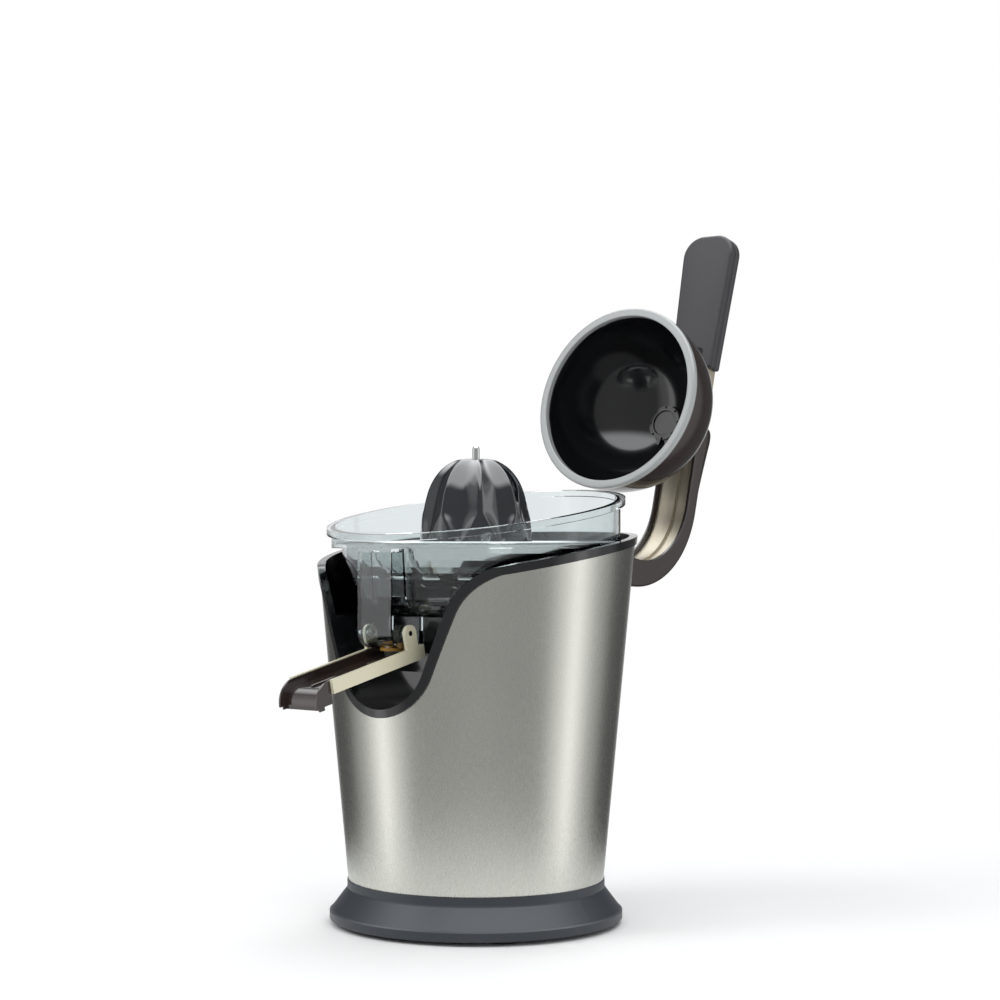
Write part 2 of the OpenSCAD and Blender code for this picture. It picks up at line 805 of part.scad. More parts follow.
module shaft_clip() color(iron) {
  translate([0, 0, clip_z]) difference() {
    cylinder(h = 2, r = hex_r + 3);
    translate([0, 0, -1]) cylinder(h = 4, r = hex_r, $fn = 6);
  }
}

// ---- return spring: a round wire swept along a helix

spring_r = 7;
wire_r = 0.45;
spring_turns = 3;
spring_steps = 54;
spring_foot = deck_h - 1 + wire_r + 0.05;
spring_rise = rod_collar_foot - deck_h + 1 - 2 * wire_r - 0.1;

function spring_ring(i) =
  let (a = 360 * spring_turns * i / spring_steps, z = spring_foot + spring_rise * i / spring_steps)
  [for (k = [0 : 5]) let (r = spring_r + wire_r * cos(60 * k))
    [r * cos(a), r * sin(a), z + wire_r * sin(60 * k)]];

function strip(rings, sides) =
  [for (i = [0 : rings - 2], k = [0 : sides - 1])
    let (a = i * sides + k, b = i * sides + (k + 1) % sides)
    each [[a, b + sides, b], [a, a + sides, b + sides]]];

module return_spring() color(iron) {
  polyhedron(
    points = [for (i = [0 : spring_steps]) each spring_ring(i)],
    faces = concat(
      strip(spring_steps + 1, 6),
      [[for (k = [0 : 5]) k]],
      [[for (k = [5 : -1 : 0]) spring_steps * 6 + k]]
    )
  );
}

// ---- juice bowl

bowl_collar_r = skin_r(seat_z - bowl_t) - shell_in - bowl_gap;
bowl_r = bowl_collar_r - collar_step;
bowl_foot_r = bowl_r - 2;                    // where the floor's corner meets the wall
bowl_corner = 14;
bowl_floor_r = bowl_foot_r - bowl_corner;
collar_in = bowl_collar_r - bowl_t;
tube_foot_r = 17.5;
tube_top_r = 14;
tube_t = 2;
bead_h = 4;
bead_proud = 3;

// quarter arc from straight down to sideways, about (cr, cz)
function quarter(cr, cz, rr, rz, n = 6) =
  [for (i = [0 : n]) [cr + rr * sin(90 * i / n), cz - rz * cos(90 * i / n)]];

module bowl_profile() {
  polygon(concat(
    [[tube_foot_r - tube_t, 0]],
    quarter(bowl_floor_r, bowl_corner, bowl_corner, bowl_corner),
    [[bowl_r, seat_h - bowl_t], [bowl_collar_r, seat_h - bowl_t],
     [bowl_collar_r, seat_h + 50], [collar_in, seat_h + 50], [collar_in, seat_h],
     [bowl_r - bowl_t, seat_h]],
    [for (p = [6 : -1 : 0])
      quarter(bowl_floor_r, bowl_corner, bowl_corner - bowl_t, bowl_corner - bowl_t)[p]],
    [[tube_foot_r, bowl_t], [tube_top_r, tube_h], [tube_top_r - tube_t, tube_h]]
  ));
}

// the space inside the bowl's wall, or all of the bowl's outside when g is its wall
module bowl_room(g) {
  translate([0, 0, deck_h]) rotate_extrude() polygon(concat(
    [[0, bowl_t - g]],
    quarter(bowl_floor_r, bowl_corner, bowl_corner - bowl_t + g, bowl_corner - bowl_t + g),
    [[bowl_r - bowl_t + g, seat_h - bowl_t], [bowl_r - bowl_t + g, seat_h + 1],
     [0, seat_h + 1]]
  ));
}

module under_rim(g) {
  translate([0, 0, bowl_rim_z - g]) rotate([bowl_tilt, 0, 0])
    translate([-reach, -reach, -reach]) cube([2 * reach, 2 * reach, reach]);
}

chute_w = spout_w - 7.2;
chute_front = bowl_collar_r + chute_out;
chute_back = chute_front - 28;
chute_foot = deck_h - 18;
chute_top = seat_z - bowl_t;
chute_round = 10;
chute_hole_r = 5.6;
chute_hole_y = 16 - chute_front;
pivot_y = 13 - chute_front;
pivot_z = chute_foot + 9;
pivot_r = 1.6;

module chute_profile(g) {
  translate([chute_round - chute_front, chute_foot + chute_round])
    circle(r = chute_round - g);
  translate([g - chute_front, chute_foot + chute_round])
    square([chute_front - chute_back, chute_top - chute_foot - chute_round - g]);
  translate([chute_round - chute_front, chute_foot + g])
    square([chute_front - chute_back - chute_round - g, chute_round + 10]);
}

module chute() {
  difference() {
    union() {
      across(chute_w) chute_profile(0);
      translate([-chute_w / 2 - 1.2, pivot_y, pivot_z]) rotate([0, 90, 0])
        cylinder(h = chute_w + 2.4, r = 4.2);
    }
    bowl_room(0);
    difference() {
      across(chute_w - 2 * bowl_t) chute_profile(bowl_t);
      bowl_room(bowl_t);
    }
    translate([0, chute_hole_y, chute_foot - 1]) cylinder(h = 5, r = chute_hole_r);
    both_sides() translate([chute_w / 2 - 1.2, pivot_y, pivot_z]) rotate([0, 90, 0])
      cylinder(h = 5, r = pivot_r + run);
  }
}

module juice_bowl() color(clear) {
  difference() {
    union() {
      intersection() {
        translate([0, 0, deck_h]) rotate_extrude() bowl_profile();
        under_rim(0);
      }
      intersection() {
        translate([0, 0, seat_z]) tube(bowl_collar_r + bead_proud, collar_in, 60);
        under_rim(0);
        difference() {
          translate([-reach, -reach, 0]) cube([2 * reach, 2 * reach, 2 * reach + 100]);
          under_rim(bead_h);
        }
      }
      chute();
    }
    translate([-9, -chute_front + 5, deck_h + bowl_t]) cube([18, 20, 10]);
  }
}

module chute_seal() color(amber) {
  translate([0, chute_hole_y, chute_foot - 1.6]) {
    tube(chute_hole_r + 1.8, chute_hole_r - 1, 1.6);
    translate([0, 0, 1]) tube(chute_hole_r - run, chute_hole_r - 1, 3);
  }
}

// ---- spout: drawn along -Y from its pivot, then given its fall

spout_back = 10;
spout_top = -9;
spout_floor = spout_top - spout_wall_h;
spout_t = 2;
channel_t = 1.2;
channel_w = spout_w - 2 * spout_t - 0.2;

module spout_place() {
  translate([0, pivot_y, pivot_z]) rotate([spout_fall, 0, 0]) children();
}

module spout_body() color(nylon) {
  spout_place() difference() {
    union() {
      translate([-spout_w / 2, -spout_l, spout_floor - spout_t - channel_t])
        cube([spout_w, spout_l + spout_back, spout_wall_h + spout_t + channel_t]);
      both_sides() translate([spout_w / 2 - spout_t, 0, 0]) {
        rotate([0, 90, 0]) cylinder(h = spout_t, r = 5);
        translate([0, -5, spout_floor]) cube([spout_t, 10, -spout_floor]);
      }
    }
    translate([-spout_w / 2 + spout_t, -spout_l - 1, spout_floor - channel_t])
      cube([spout_w - 2 * spout_t, spout_l + spout_back - 1, 40]);
    translate([-spout_w / 2 + spout_t, 0, spout_floor + 1.6])
      cube([spout_w - 2 * spout_t, spout_back + 1, 40]);
    translate([-spout_w, 0, 0]) rotate([0, 90, 0]) cylinder(h = 2 * spout_w, r = pivot_r);
  }
}

// the channel's side view: a floor that turns down into a beak
module channel_floor() {
  beak_r = beak_h - 2;
  translate([-spout_l, spout_floor - channel_t])
    square([spout_l + spout_back - 2.2, channel_t]);
  translate([-spout_l, spout_floor - beak_r]) intersection() {
    difference() {
      circle(r = beak_r);
      circle(r = beak_r - channel_t);
    }
    translate([-beak_r, 0]) square(beak_r);
  }
  translate([-spout_l - beak_r, spout_floor - beak_h]) square([channel_t, 2]);
}

module channel_side() {
  beak_r = beak_h - 2;
  translate([-spout_l, spout_floor - channel_t])
    square([spout_l + spout_back - 2.2, spout_wall_h + channel_t - 0.4]);
  translate([-spout_l, spout_floor - beak_r]) intersection() {
    circle(r = beak_r + spout_wall_h - 0.4);
    translate([-beak_r - spout_wall_h, 0])
      square([beak_r + spout_wall_h, beak_r + spout_wall_h]);
  }
  translate([-spout_l - beak_r - 2, spout_floor - beak_h])
    square([4, 2]);
}

module spout_channel() color(brown) {
  spout_place() {
    across(channel_w) channel_floor();
    both_sides() translate([channel_w / 2 - 0.6, 0, 0]) across(1.2) difference() {
      channel_side();
      translate([-spout_l, spout_floor - beak_h - 4]) square([3, 9]);
    }
    across(1.4) translate([-spout_l, spout_floor]) square([spout_l + 4, 1]);
  }
}

module spout_pins() color(iron) {
  spout_place() both_sides() translate([chute_w / 2 - 1, 0, 0]) rotate([0, 90, 0])
    cylinder(h = spout_w / 2 - chute_w / 2 + 1, r = pivot_r);
}

// ---- sieve

sieve_r = bowl_r - bowl_t - sieve_gap;
flange_r = bowl_collar_r - bowl_t - flange_gap;
hub_foot_r = 28.8;
hub_hole_r = 17.5;
belly_r = 50;
slot_w = 1.6;

module sieve_profile() {
  wall_z = sieve_depth - 5;
  outer = quarter(belly_r, wall_z, sieve_r - belly_r, wall_z, 8);
  inner = quarter(belly_r, wall_z, sieve_r - belly_r - sheet_t, wall_z - sheet_t, 8);
  polygon(concat(
    [[hub_hole_r, 13], [20, 12], [21, 4], [hub_foot_r, 0]], outer,
    [[sieve_r, sieve_depth], [flange_r, sieve_depth], [flange_r, sieve_depth + sheet_t],
     [sieve_r - sheet_t, sieve_depth + sheet_t]],
    [for (i = [8 : -1 : 0]) inner[i]],
    [[hub_foot_r + 0.5, sheet_t], [21.7, 4.5], [20.7, 12.7], [hub_hole_r, 13.9]]
  ));
}

module pulp_sieve() color(steel) {
  translate([0, 0, sieve_floor_z]) difference() {
    rotate_extrude() sieve_profile();
    for (a = [0 : 360 / drain_count : 359]) rotate([0, 0, a])
      translate([sieve_r - 10, -5.5, 2]) cube([2.6, 11, 16]);
    for (a = [0 : 360 / drain_count : 359]) rotate([0, 0, a + 180 / drain_count]) {
      translate([33, -slot_w / 2, -1]) cube([14, slot_w, 4]);
      translate([52, -slot_w / 2, -1]) cube([11, slot_w, 8]);
    }
  }
}

// ---- reamers: a dome of rows, each [height, radius, flute depth, flute width]

cone_sides = 10;                             // points across one flute
function wave(i, w) =
  let (q = 2 * (i % cone_sides) / cone_sides - 1) w <= 0 ? 0 : max(0, 1 - pow(q / w, 2));

function cone_row(row) =
  [for (i = [0 : rib_count * cone_sides - 1])
    let (a = 360 * i / (rib_count * cone_sides), r = row[1] - row[2] * wave(i, row[3]))
    [r * cos(a), r * sin(a), row[0]]];

module fluted_cone(rows) {
  n = rib_count * cone_sides;
  polyhedron(
    points = [for (row = rows) each cone_row(row)],
    faces = concat(
      strip(len(rows), n),
      [[for (k = [0 : n - 1]) k]],
      [[for (k = [n - 1 : -1 : 0]) (len(rows) - 1) * n + k]]
    )
  );
}

small_foot = 4;
function small_row(h, r, d, w) =
  [small_foot + (small_h - small_foot) * h, small_r * r, d, w];
small_rows = [
  small_row(0, 1, 0, 0), small_row(0.13, 0.995, 0, 0.02), small_row(0.2, 0.975, 1, 0.3),
  small_row(0.28, 0.95, 2.1, 0.55), small_row(0.37, 0.905, 2.8, 0.8),
  small_row(0.47, 0.845, 3, 1), small_row(0.57, 0.775, 3, 1), small_row(0.67, 0.69, 2.9, 1),
  small_row(0.76, 0.59, 2.6, 1), small_row(0.84, 0.475, 2.1, 1), small_row(0.91, 0.35, 1.5, 1),
  small_row(0.96, 0.225, 0.9, 1), small_row(1, 0.09, 0.2, 1)
];

function large_row(h, r, d, w) = [large_h * h, large_r * r, flute_depth * d, w];
large_rows = [
  large_row(0, 1, 0, 0), large_row(0.15, 0.995, 0, 0.02), large_row(0.21, 0.985, 0.3, 0.3),
  large_row(0.29, 0.965, 0.62, 0.52), large_row(0.38, 0.935, 0.88, 0.76),
  large_row(0.48, 0.885, 1, 1), large_row(0.58, 0.825, 1, 1), large_row(0.68, 0.745, 1, 1),
  large_row(0.77, 0.65, 0.95, 1), large_row(0.85, 0.54, 0.82, 1),
  large_row(0.915, 0.42, 0.6, 1), large_row(0.965, 0.3, 0.36, 1),
  large_row(0.992, 0.2, 0.16, 1), large_row(1, 0.12, 0.04, 1)
];

shoulder = rod_collar_top - ring_z;          // the small reamer rests on the rod's collar
wing_r = wing_span / 2;
insert_r = rod_r + 3.3;
key_r = rod_r + 1.6;
bore_top = rod_top - rod_r - ring_z + 0.6;

module wings() {
  for (a = [40, 220]) rotate([0, 0, a]) intersection() {
    rotate([90, 0, 0]) translate([0, 0, -8]) linear_extrude(height = 16)
      polygon([[ring_r - 1.5, 5], [wing_r - 9, 5], [wing_r - 4, 6.6], [wing_r, 11.5],
               [wing_r, 14], [wing_r - 2.5, 14], [wing_r - 7, 11], [wing_r - 14, 9.6],
               [ring_r + 2, 9.6], [ring_r - 1.5, ring_h - 0.5]]);
    linear_extrude(height = ring_h + 4)
      polygon([[ring_r - 2, -6.5], [wing_r - 10, -5], [wing_r, -2], [wing_r, 2],
               [wing_r - 10, 5], [ring_r - 2, 6.5]]);
  }
}

skirt_r = 22;                                // inside of the ring, over the sieve's hub
notch_count = 12;
notch_w = 5;
notch_h = 4;

module small_reamer() color(black) {
  translate([0, 0, ring_z]) difference() {
    union() {
      fluted_cone(small_rows);
      difference() {
        tube(ring_r, ring_r - 2, ring_h);
        for (a = [0 : 360 / notch_count : 359]) rotate([0, 0, a])
          translate([ring_r - 4, -notch_w / 2, ring_h - notch_h]) cube([6, notch_w, 9]);
      }
      translate([0, 0, small_foot]) tube(ring_r - 1, small_r - 3, 2.5);
      wings();
    }
    translate([0, 0, -1]) cylinder(h = ring_h + 2, r = skirt_r);
    translate([0, 0, ring_h]) cylinder(h = shoulder - ring_h, r1 = 17.6, r2 = 15.2);
    translate([0, 0, shoulder - 1]) cylinder(h = insert_h + 1, r = insert_r);
    translate([0, 0, shoulder]) cylinder(h = bore_top - shoulder, r = rod_r + fit);
    translate([0, 0, bore_top]) sphere(r = rod_r + fit);
  }
}

module drive_insert() color(iron) {
  translate([0, 0, ring_z + shoulder]) difference() {
    cylinder(h = insert_h, r = insert_r);
    translate([0, 0, -1]) cylinder(h = insert_h + 2, r = rod_r + fit);
    translate([-key_r, -1.8, -1]) cube([2 * key_r, 3.6, insert_h + 2]);
  }
}

module large_reamer() color(black) {
  translate([0, 0, large_z]) difference() {
    union() {
      fluted_cone(large_rows);
      for (a = [0 : 90 : 270]) rotate([0, 0, a])
        translate([ring_r - 1.8, -2, -notch_h + 0.5]) cube([1.6, 4, notch_h + 1]);
    }
    translate([0, 0, -5]) cylinder(h = 17, r = large_r - 2.2 - eps);
    translate([0, 0, 12 - eps]) cylinder(h = 18, r1 = large_r - 3, r2 = large_r - 10);
    translate([0, 0, 30 - 2 * eps]) cylinder(h = 18, r1 = large_r - 10, r2 = large_r - 18.5);
    translate([0, 0, 48 - 3 * eps]) cylinder(h = 8, r1 = large_r - 18.5, r2 = large_r - 25);
    translate([0, 0, large_h - 5]) cylinder(h = 9, r = tip_pin_r);
  }
}

module tip_pin() color(steel) {
  translate([0, 0, large_z + large_h]) {
    translate([0, 0, -5]) cylinder(h = 5 + tip_pin_h - tip_pin_r, r = tip_pin_r);
    translate([0, 0, tip_pin_h - tip_pin_r]) sphere(r = tip_pin_r);
  }
}

// ---- lever: side views as (Y, Z), drawn closed

cover_t = 2.2;
cover_end = -5;
cover_foot = hinge_z + 26;
shoulder_h = 5;                              // rise of the cover towards its end
post_out = hinge_y + 14.8;
post_in = hinge_y - 4.6;
outer_c = [post_out - bend_out, arm_top_z - bend_out];
inner_c = [post_in - bend_in, arm_under_z - bend_in];
neck_r = 11;
neck_w = 28;
neck_end = -46;                              // the grip starts here

// everything under and inside a bend of radius r about c, as far as y0 and z0
module bend(c, r, y0, z0) {
  intersection() {
    translate(c) circle(r = r);
    translate(c - [1, 1]) square(r + 2);
  }
  translate([y0, z0]) square([c[0] - y0, c[1] + r - z0]);
  translate([y0, z0]) square([c[0] + r - y0, c[1] - z0]);
}

module arm_side(o, i, y0, z0) {
  difference() {
    bend(outer_c, bend_out - o, y0, z0);
    bend(inner_c, bend_in + i, y0 - 50, z0 - 50);
  }
}

module layer(i0, i1, y0, z0) {
  difference() {
    bend(inner_c, bend_in + i1, y0, z0);
    bend(inner_c, bend_in + i0, y0 - 50, z0 - 50);
  }
}

module lever_cover() color(brown) {
  lever_pose() difference() {
    across(arm_w) {
      arm_side(0, 0, cover_end, cover_foot);
      polygon([[42, arm_top_z - 0.1], [4, arm_top_z + shoulder_h],
               [0, arm_top_z + shoulder_h - 0.4], [cover_end, arm_top_z + 0.5],
               [cover_end, arm_top_z - cover_t], [42, arm_top_z - cover_t]]);
    }
    across(arm_w - 2 * cover_t)
      bend(outer_c, bend_out - cover_t, cover_end - 1, cover_foot - 1);
  }
}

// the bar that runs from the dome's neck to the grip, narrower inside the cover
module neck_bar() {
  across(arm_w - 2 * cover_t - 1.6)
    polygon([[14, arm_under_z + 1], [14, arm_top_z - cover_t - 0.4],
             [cover_end, arm_top_z - cover_t - 0.4], [cover_end, arm_under_z + 1]]);
  across(neck_w)
    polygon([[cover_end - 0.3, arm_under_z + 1], [cover_end - 0.3, arm_top_z - 1],
             [neck_end, arm_top_z - 1.4], [neck_end, arm_under_z + 0.6]]);
  translate([-10, cover_end - 1, arm_under_z + 2]) cube([20, 2, arm_t - cover_t - 3]);
}

module lever_frame() color(steel) {
  lever_pose() difference() {
    union() {
      across(arm_w - 2 * cover_t - 0.8) layer(3, 6, cover_end, cover_foot - 2);
      across(5) layer(1.4, 3.5, neck_r, cover_foot - 2);
      across(arm_w) {
        translate([hinge_y, hinge_z]) circle(r = barrel_r);
        polygon([[hinge_y - 6.5, hinge_z], [hinge_y + barrel_r, hinge_z],
                 [hinge_y + barrel_r, hinge_z + 17], [post_out, cover_foot - 0.2],
                 [post_in, cover_foot - 0.2], [post_in, hinge_z + 10],
                 [hinge_y - 6.5, hinge_z + 5]]);
      }
      neck_bar();
      translate([0, 0, dome_centre_z]) difference() {
        cylinder(h = arm_under_z + 5 - dome_centre_z, r = neck_r);
        sphere(r = dome_r);
      }
      grip_place() translate([-tang_w / 2, -tang_l, -grip_t / 2 - 2])
        cube([tang_w, tang_l + 1, 4]);
    }
    translate([-reach / 2, hinge_y, hinge_z]) rotate([0, 90, 0])
      cylinder(h = reach, r = hinge_pin_r + run);
    translate([0, 0, dome_top_z - 2]) cylinder(h = 12, r = 2.5);
    grip_place() at_all(grip_screw_at) translate([0, 0, -grip_t]) cylinder(h = 20, r = 1.8);
  }
}

// ---- grip: drawn with its top at Z = 0 and its root at Y = 0, then set on the arm

tip_r = 15;                                  // of the two corners of the grip's tip
tang_w = 18;
tang_l = 60;
grip_screw_at = [[-5.5, -12, 0], [5.5, -12, 0]];

module grip_place() {
  translate([0, neck_end, arm_top_z - 0.6]) children();
}

module grip_plan() {
  difference() {
    polygon([[-grip_root_w / 2, 0], [grip_root_w / 2, 0], [grip_w / 2, tip_r - grip_l],
             [grip_w / 2, -grip_l], [-grip_w / 2, -grip_l], [-grip_w / 2, tip_r - grip_l]]);
    both_sides() difference() {
      translate([grip_w / 2 - tip_r, -grip_l - 1]) square([tip_r + 1, tip_r + 1]);
      translate([grip_w / 2 - tip_r, tip_r - grip_l]) circle(r = tip_r);
    }
  }
}

module grip_part(z0, z1) {
  lever_pose() grip_place() difference() {
    translate([0, 0, z0]) linear_extrude(height = z1 - z0) grip_plan();
    translate([-tang_w / 2 - 0.2, -tang_l - 0.2, -grip_t / 2 - 2])
      cube([tang_w + 0.4, tang_l + 2, 4]);
    at_all(grip_screw_at) {
      translate([0, 0, -grip_t - 1]) cylinder(h = 3, r = 3.2);
      translate([0, 0, -grip_t - 1]) cylinder(h = grip_t - 2, r = 1.6);
    }
  }
}

module grip_upper() color(slate) grip_part(-grip_t / 2, 0);

module grip_lower() color(slate) grip_part(-grip_t, -grip_t / 2);

module grip_screws() color(iron) {
  lever_pose() grip_place() at_all(grip_screw_at) {
    translate([0, 0, -grip_t + 0.4]) cylinder(h = 1.6, r = 3);
    translate([0, 0, -grip_t + 1]) cylinder(h = grip_t - 4.2, r = 1.55);
  }
}

// ---- press dome

dome_ring_h = 4;
liner_gap = 0.5;
liner_r = dome_r - dome_t - liner_gap;
liner_t = 2.2;
boss_face = dome_rim_z + 59;
boss_out = 12.2;
boss_in = 9;
cap_h = 2.5;

module bell(r_out, r_in) {
  foot = dome_rim_z + dome_ring_h;
  difference() {
    union() {
      translate([0, 0, dome_centre_z]) sphere(r = r_out);
      translate([0, 0, foot]) cylinder(h = dome_centre_z - foot, r = r_out);
    }
    translate([0, 0, dome_centre_z]) sphere(r = r_in);
    translate([0, 0, foot - 1]) cylinder(h = dome_centre_z - foot + 1, r = r_in);
    translate([-reach, -reach, foot - 2 * reach]) cube(2 * reach);
    translate([0, 0, dome_centre_z]) cylinder(h = 2 * dome_r, r = 2.7);
  }
}

module dome_shell() color(brown) lever_pose() bell(dome_r, dome_r - dome_t);

module dome_liner() color(black) lever_pose() bell(liner_r, liner_r - liner_t);

module dome_rim() color(steel) {
  lever_pose() translate([0, 0, dome_rim_z]) rotate_extrude()
    polygon([[liner_r - liner_t, 0], [dome_r, 0], [dome_r + 0.7, 0.8],
             [dome_r + 0.7, dome_ring_h - 0.6], [dome_r + 0.1, dome_ring_h],
             [liner_r - liner_t, dome_ring_h]]);
}

module dome_boss() color(black) {
  lever_pose() intersection() {
    translate([0, 0, boss_face]) difference() {
      union() {
        tube(boss_out, boss_in, 14);
        for (a = [75, 105]) rotate([0, 0, a])
          translate([boss_out - 1, -1.5, 1]) cube([4.5, 3, 10]);
      }
      for (a = [0 : 45 : 315]) rotate([0, 0, a])
        translate([boss_in + 1.4, -0.8, -1]) cube([5, 1.6, 2.4]);
    }
    translate([0, 0, dome_centre_z]) sphere(r = liner_r - liner_t);
  }
}

module dome_screw() color(steel) {
  lever_pose() {
    translate([0, 0, boss_face + 0.8]) cylinder(h = cap_h, r = boss_in - 0.6);
    translate([0, 0, boss_face + 2]) cylinder(h = dome_top_z + 7 - boss_face, r = 2.45);
  }
}

steel_skin();
inner_shell();
base_ring();
base_plate();
rubber_feet();
base_screws();
cable_gland();
terminal_block();
hinge_bracket();
hinge_pin();
hinge_screws();
gearbox_plate();
gearbox_screws();
idler_axle();
shaft_bush();
shaft_seal();
switch_body();
switch_plunger();
motor_brackets();
stator_core();
field_coils();
motor_bearings();
brush_holders();
carbon_brushes();
motor_shaft();
armature_core();
commutator();
cooling_fan();
motor_pinion();
idler_gear();
output_gear();
return_spring();
drive_shaft();
shaft_clip();
juice_bowl();
chute_seal();
spout_body();
spout_channel();
spout_pins();
pulp_sieve();
small_reamer();
drive_insert();
large_reamer();
tip_pin();
lever_frame();
lever_cover();
grip_upper();
grip_lower();
grip_screws();
dome_shell();
dome_liner();
dome_rim();
dome_boss();
dome_screw();
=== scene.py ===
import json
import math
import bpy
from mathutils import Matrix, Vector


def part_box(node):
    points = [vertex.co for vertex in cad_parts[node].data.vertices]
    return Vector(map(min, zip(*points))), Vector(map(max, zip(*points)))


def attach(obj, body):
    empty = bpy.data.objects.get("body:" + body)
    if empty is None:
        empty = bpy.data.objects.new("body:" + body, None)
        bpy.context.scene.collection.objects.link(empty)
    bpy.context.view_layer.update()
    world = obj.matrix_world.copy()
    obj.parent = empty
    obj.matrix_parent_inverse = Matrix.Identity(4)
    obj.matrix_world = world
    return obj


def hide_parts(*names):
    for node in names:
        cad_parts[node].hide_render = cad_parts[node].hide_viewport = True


bl_info = {
    "name": "Citrus Press Juicer",
    "version": (1, 0, 0),
    "blender": (4, 5, 0),
    "location": "View3D > Sidebar > Juicer",
    "description": "Builds the finished surfaces and materials of a lever citrus press",
    "category": "Add Mesh",
}

import bmesh
import bpy
import numpy as np
from bpy.props import FloatProperty, FloatVectorProperty, PointerProperty
from mathutils import Vector

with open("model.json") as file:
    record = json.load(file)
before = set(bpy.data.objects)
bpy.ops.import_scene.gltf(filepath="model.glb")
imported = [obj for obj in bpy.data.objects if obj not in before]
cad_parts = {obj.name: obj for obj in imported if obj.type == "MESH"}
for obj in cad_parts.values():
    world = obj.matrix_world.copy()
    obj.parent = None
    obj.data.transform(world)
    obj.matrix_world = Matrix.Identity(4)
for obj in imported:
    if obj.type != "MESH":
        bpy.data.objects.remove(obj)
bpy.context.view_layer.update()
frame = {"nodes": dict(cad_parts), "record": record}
NODES = frame["nodes"]
MM = 0.001


def corner(node, which):
    """Lowest (0) or highest (1) corner of a CAD node, in millimetres."""
    return np.array(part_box(node)[which]) / MM


def srgb(code, alpha=None):
    """Linear colour from an sRGB hex value: each channel goes through the sRGB curve."""
    values = [int(code[i : i + 2], 16) / 255 for i in (1, 3, 5)]
    linear = [v / 12.92 if v <= 0.04045 else ((v + 0.055) / 1.055) ** 2.4 for v in values]
    return (*linear, 1.0) if alpha is None else (*linear, alpha)


# ---- sizes and colours a user would change


def length(name, description, value, low, high):
    return FloatProperty(
        name=name, description=description, default=value * MM, min=low * MM, max=high * MM,
        unit="LENGTH", precision=4,
    )


def colour(name, description, code):
    return FloatVectorProperty(
        name=name, description=description, default=srgb(code), size=4, subtype="COLOR",
        min=0.0, max=1.0,
    )


class JuicerSizes(bpy.types.PropertyGroup):
    """Sizes of the finished surfaces that the solids leave free."""

    edge: length("Moulded edge", "Radius of the edges of moulded pieces", 0.6, 0.1, 2)
    rib_round: length("Rib rounding", "How far the reamers' ribs are rounded over", 0.9, 0.2, 2)


class JuicerColours(bpy.types.PropertyGroup):
    """Colours of the finishes."""

    steel: colour("Steel", "Brushed stainless body", "#d0d0c8")
    slate: colour("Slate", "Satin base moulding", "#2d3238")
    brown: colour("Brown", "Dark brown gloss moulding", "#2c2320")
    reamer: colour("Reamer", "Blue-black gloss cones", "#10171b")
    cream: colour("Cream", "Side of the spout", "#d8d2b8")
    amber: colour("Amber", "Silicone seal", "#c08a2e")
    floor: colour("Floor", "Floor and backdrop", "#f4f4f4")


def sizes():
    return bpy.context.scene.juicer_sizes


def colours():
    return bpy.context.scene.juicer_colours


# ---- material helpers


def add(tree, kind, inputs=None, **settings):
    """Adds one node; inputs take values, or sockets to link from."""
    made = tree.nodes.new(kind)
    for key, value in settings.items():
        setattr(made, key, value)
    for key, value in (inputs or {}).items():
        if isinstance(value, bpy.types.NodeSocket):
            tree.links.new(value, made.inputs[key])
        else:
            made.inputs[key].default_value = value
    return made


def start(name):
    """A new material with only its shader and output; returns material, tree and shader."""
    made = bpy.data.materials.new(name)
    made.use_nodes = True
    tree = made.node_tree
    tree.nodes.clear()
    shader = add(tree, "ShaderNodeBsdfPrincipled")
    add(tree, "ShaderNodeOutputMaterial", {"Surface": shader.outputs[0]})
    return made, tree, shader


def object_space(tree, scale):
    """Object coordinates in millimetres, stretched by scale."""
    place = add(tree, "ShaderNodeTexCoord")
    return add(
        tree, "ShaderNodeMapping",
        {"Vector": place.outputs["Object"], "Scale": tuple(s / MM for s in scale)},
    ).outputs[0]


def noise(tree, scale, detail=3.0, roughness=0.55):
    """Noise whose features are about 1 / scale millimetres in each direction."""
    return add(
        tree, "ShaderNodeTexNoise",
        {"Vector": object_space(tree, scale), "Scale": 1.0, "Detail": detail,
         "Roughness": roughness},
    ).outputs["Fac"]


def between(tree, factor, low, high):
    """Maps 0..1 to low..high."""
    return add(
        tree, "ShaderNodeMapRange", {"Value": factor, "To Min": low, "To Max": high}
    ).outputs[0]


def bump(tree, shader, height, strength, depth):
    """Bump of the given real depth in millimetres."""
    made = add(
        tree, "ShaderNodeBump",
        {"Height": height, "Strength": strength, "Distance": depth * MM},
    )
    tree.links.new(made.outputs[0], shader.inputs["Normal"])


def tinted(tree, factor, first, second):
    """Mixes two colours by a factor."""
    made = add(tree, "ShaderNodeMix", data_type="RGBA")
    made.inputs["A"].default_value = first
    made.inputs["B"].default_value = second
    tree.links.new(factor, made.inputs["Factor"])
    return made.outputs["Result"]


def shade(base, share):
    """The colour made lighter (share over 1) or darker."""
    return tuple(min(1.0, c * share) for c in base[:3]) + (1.0,)


# ---- finishes


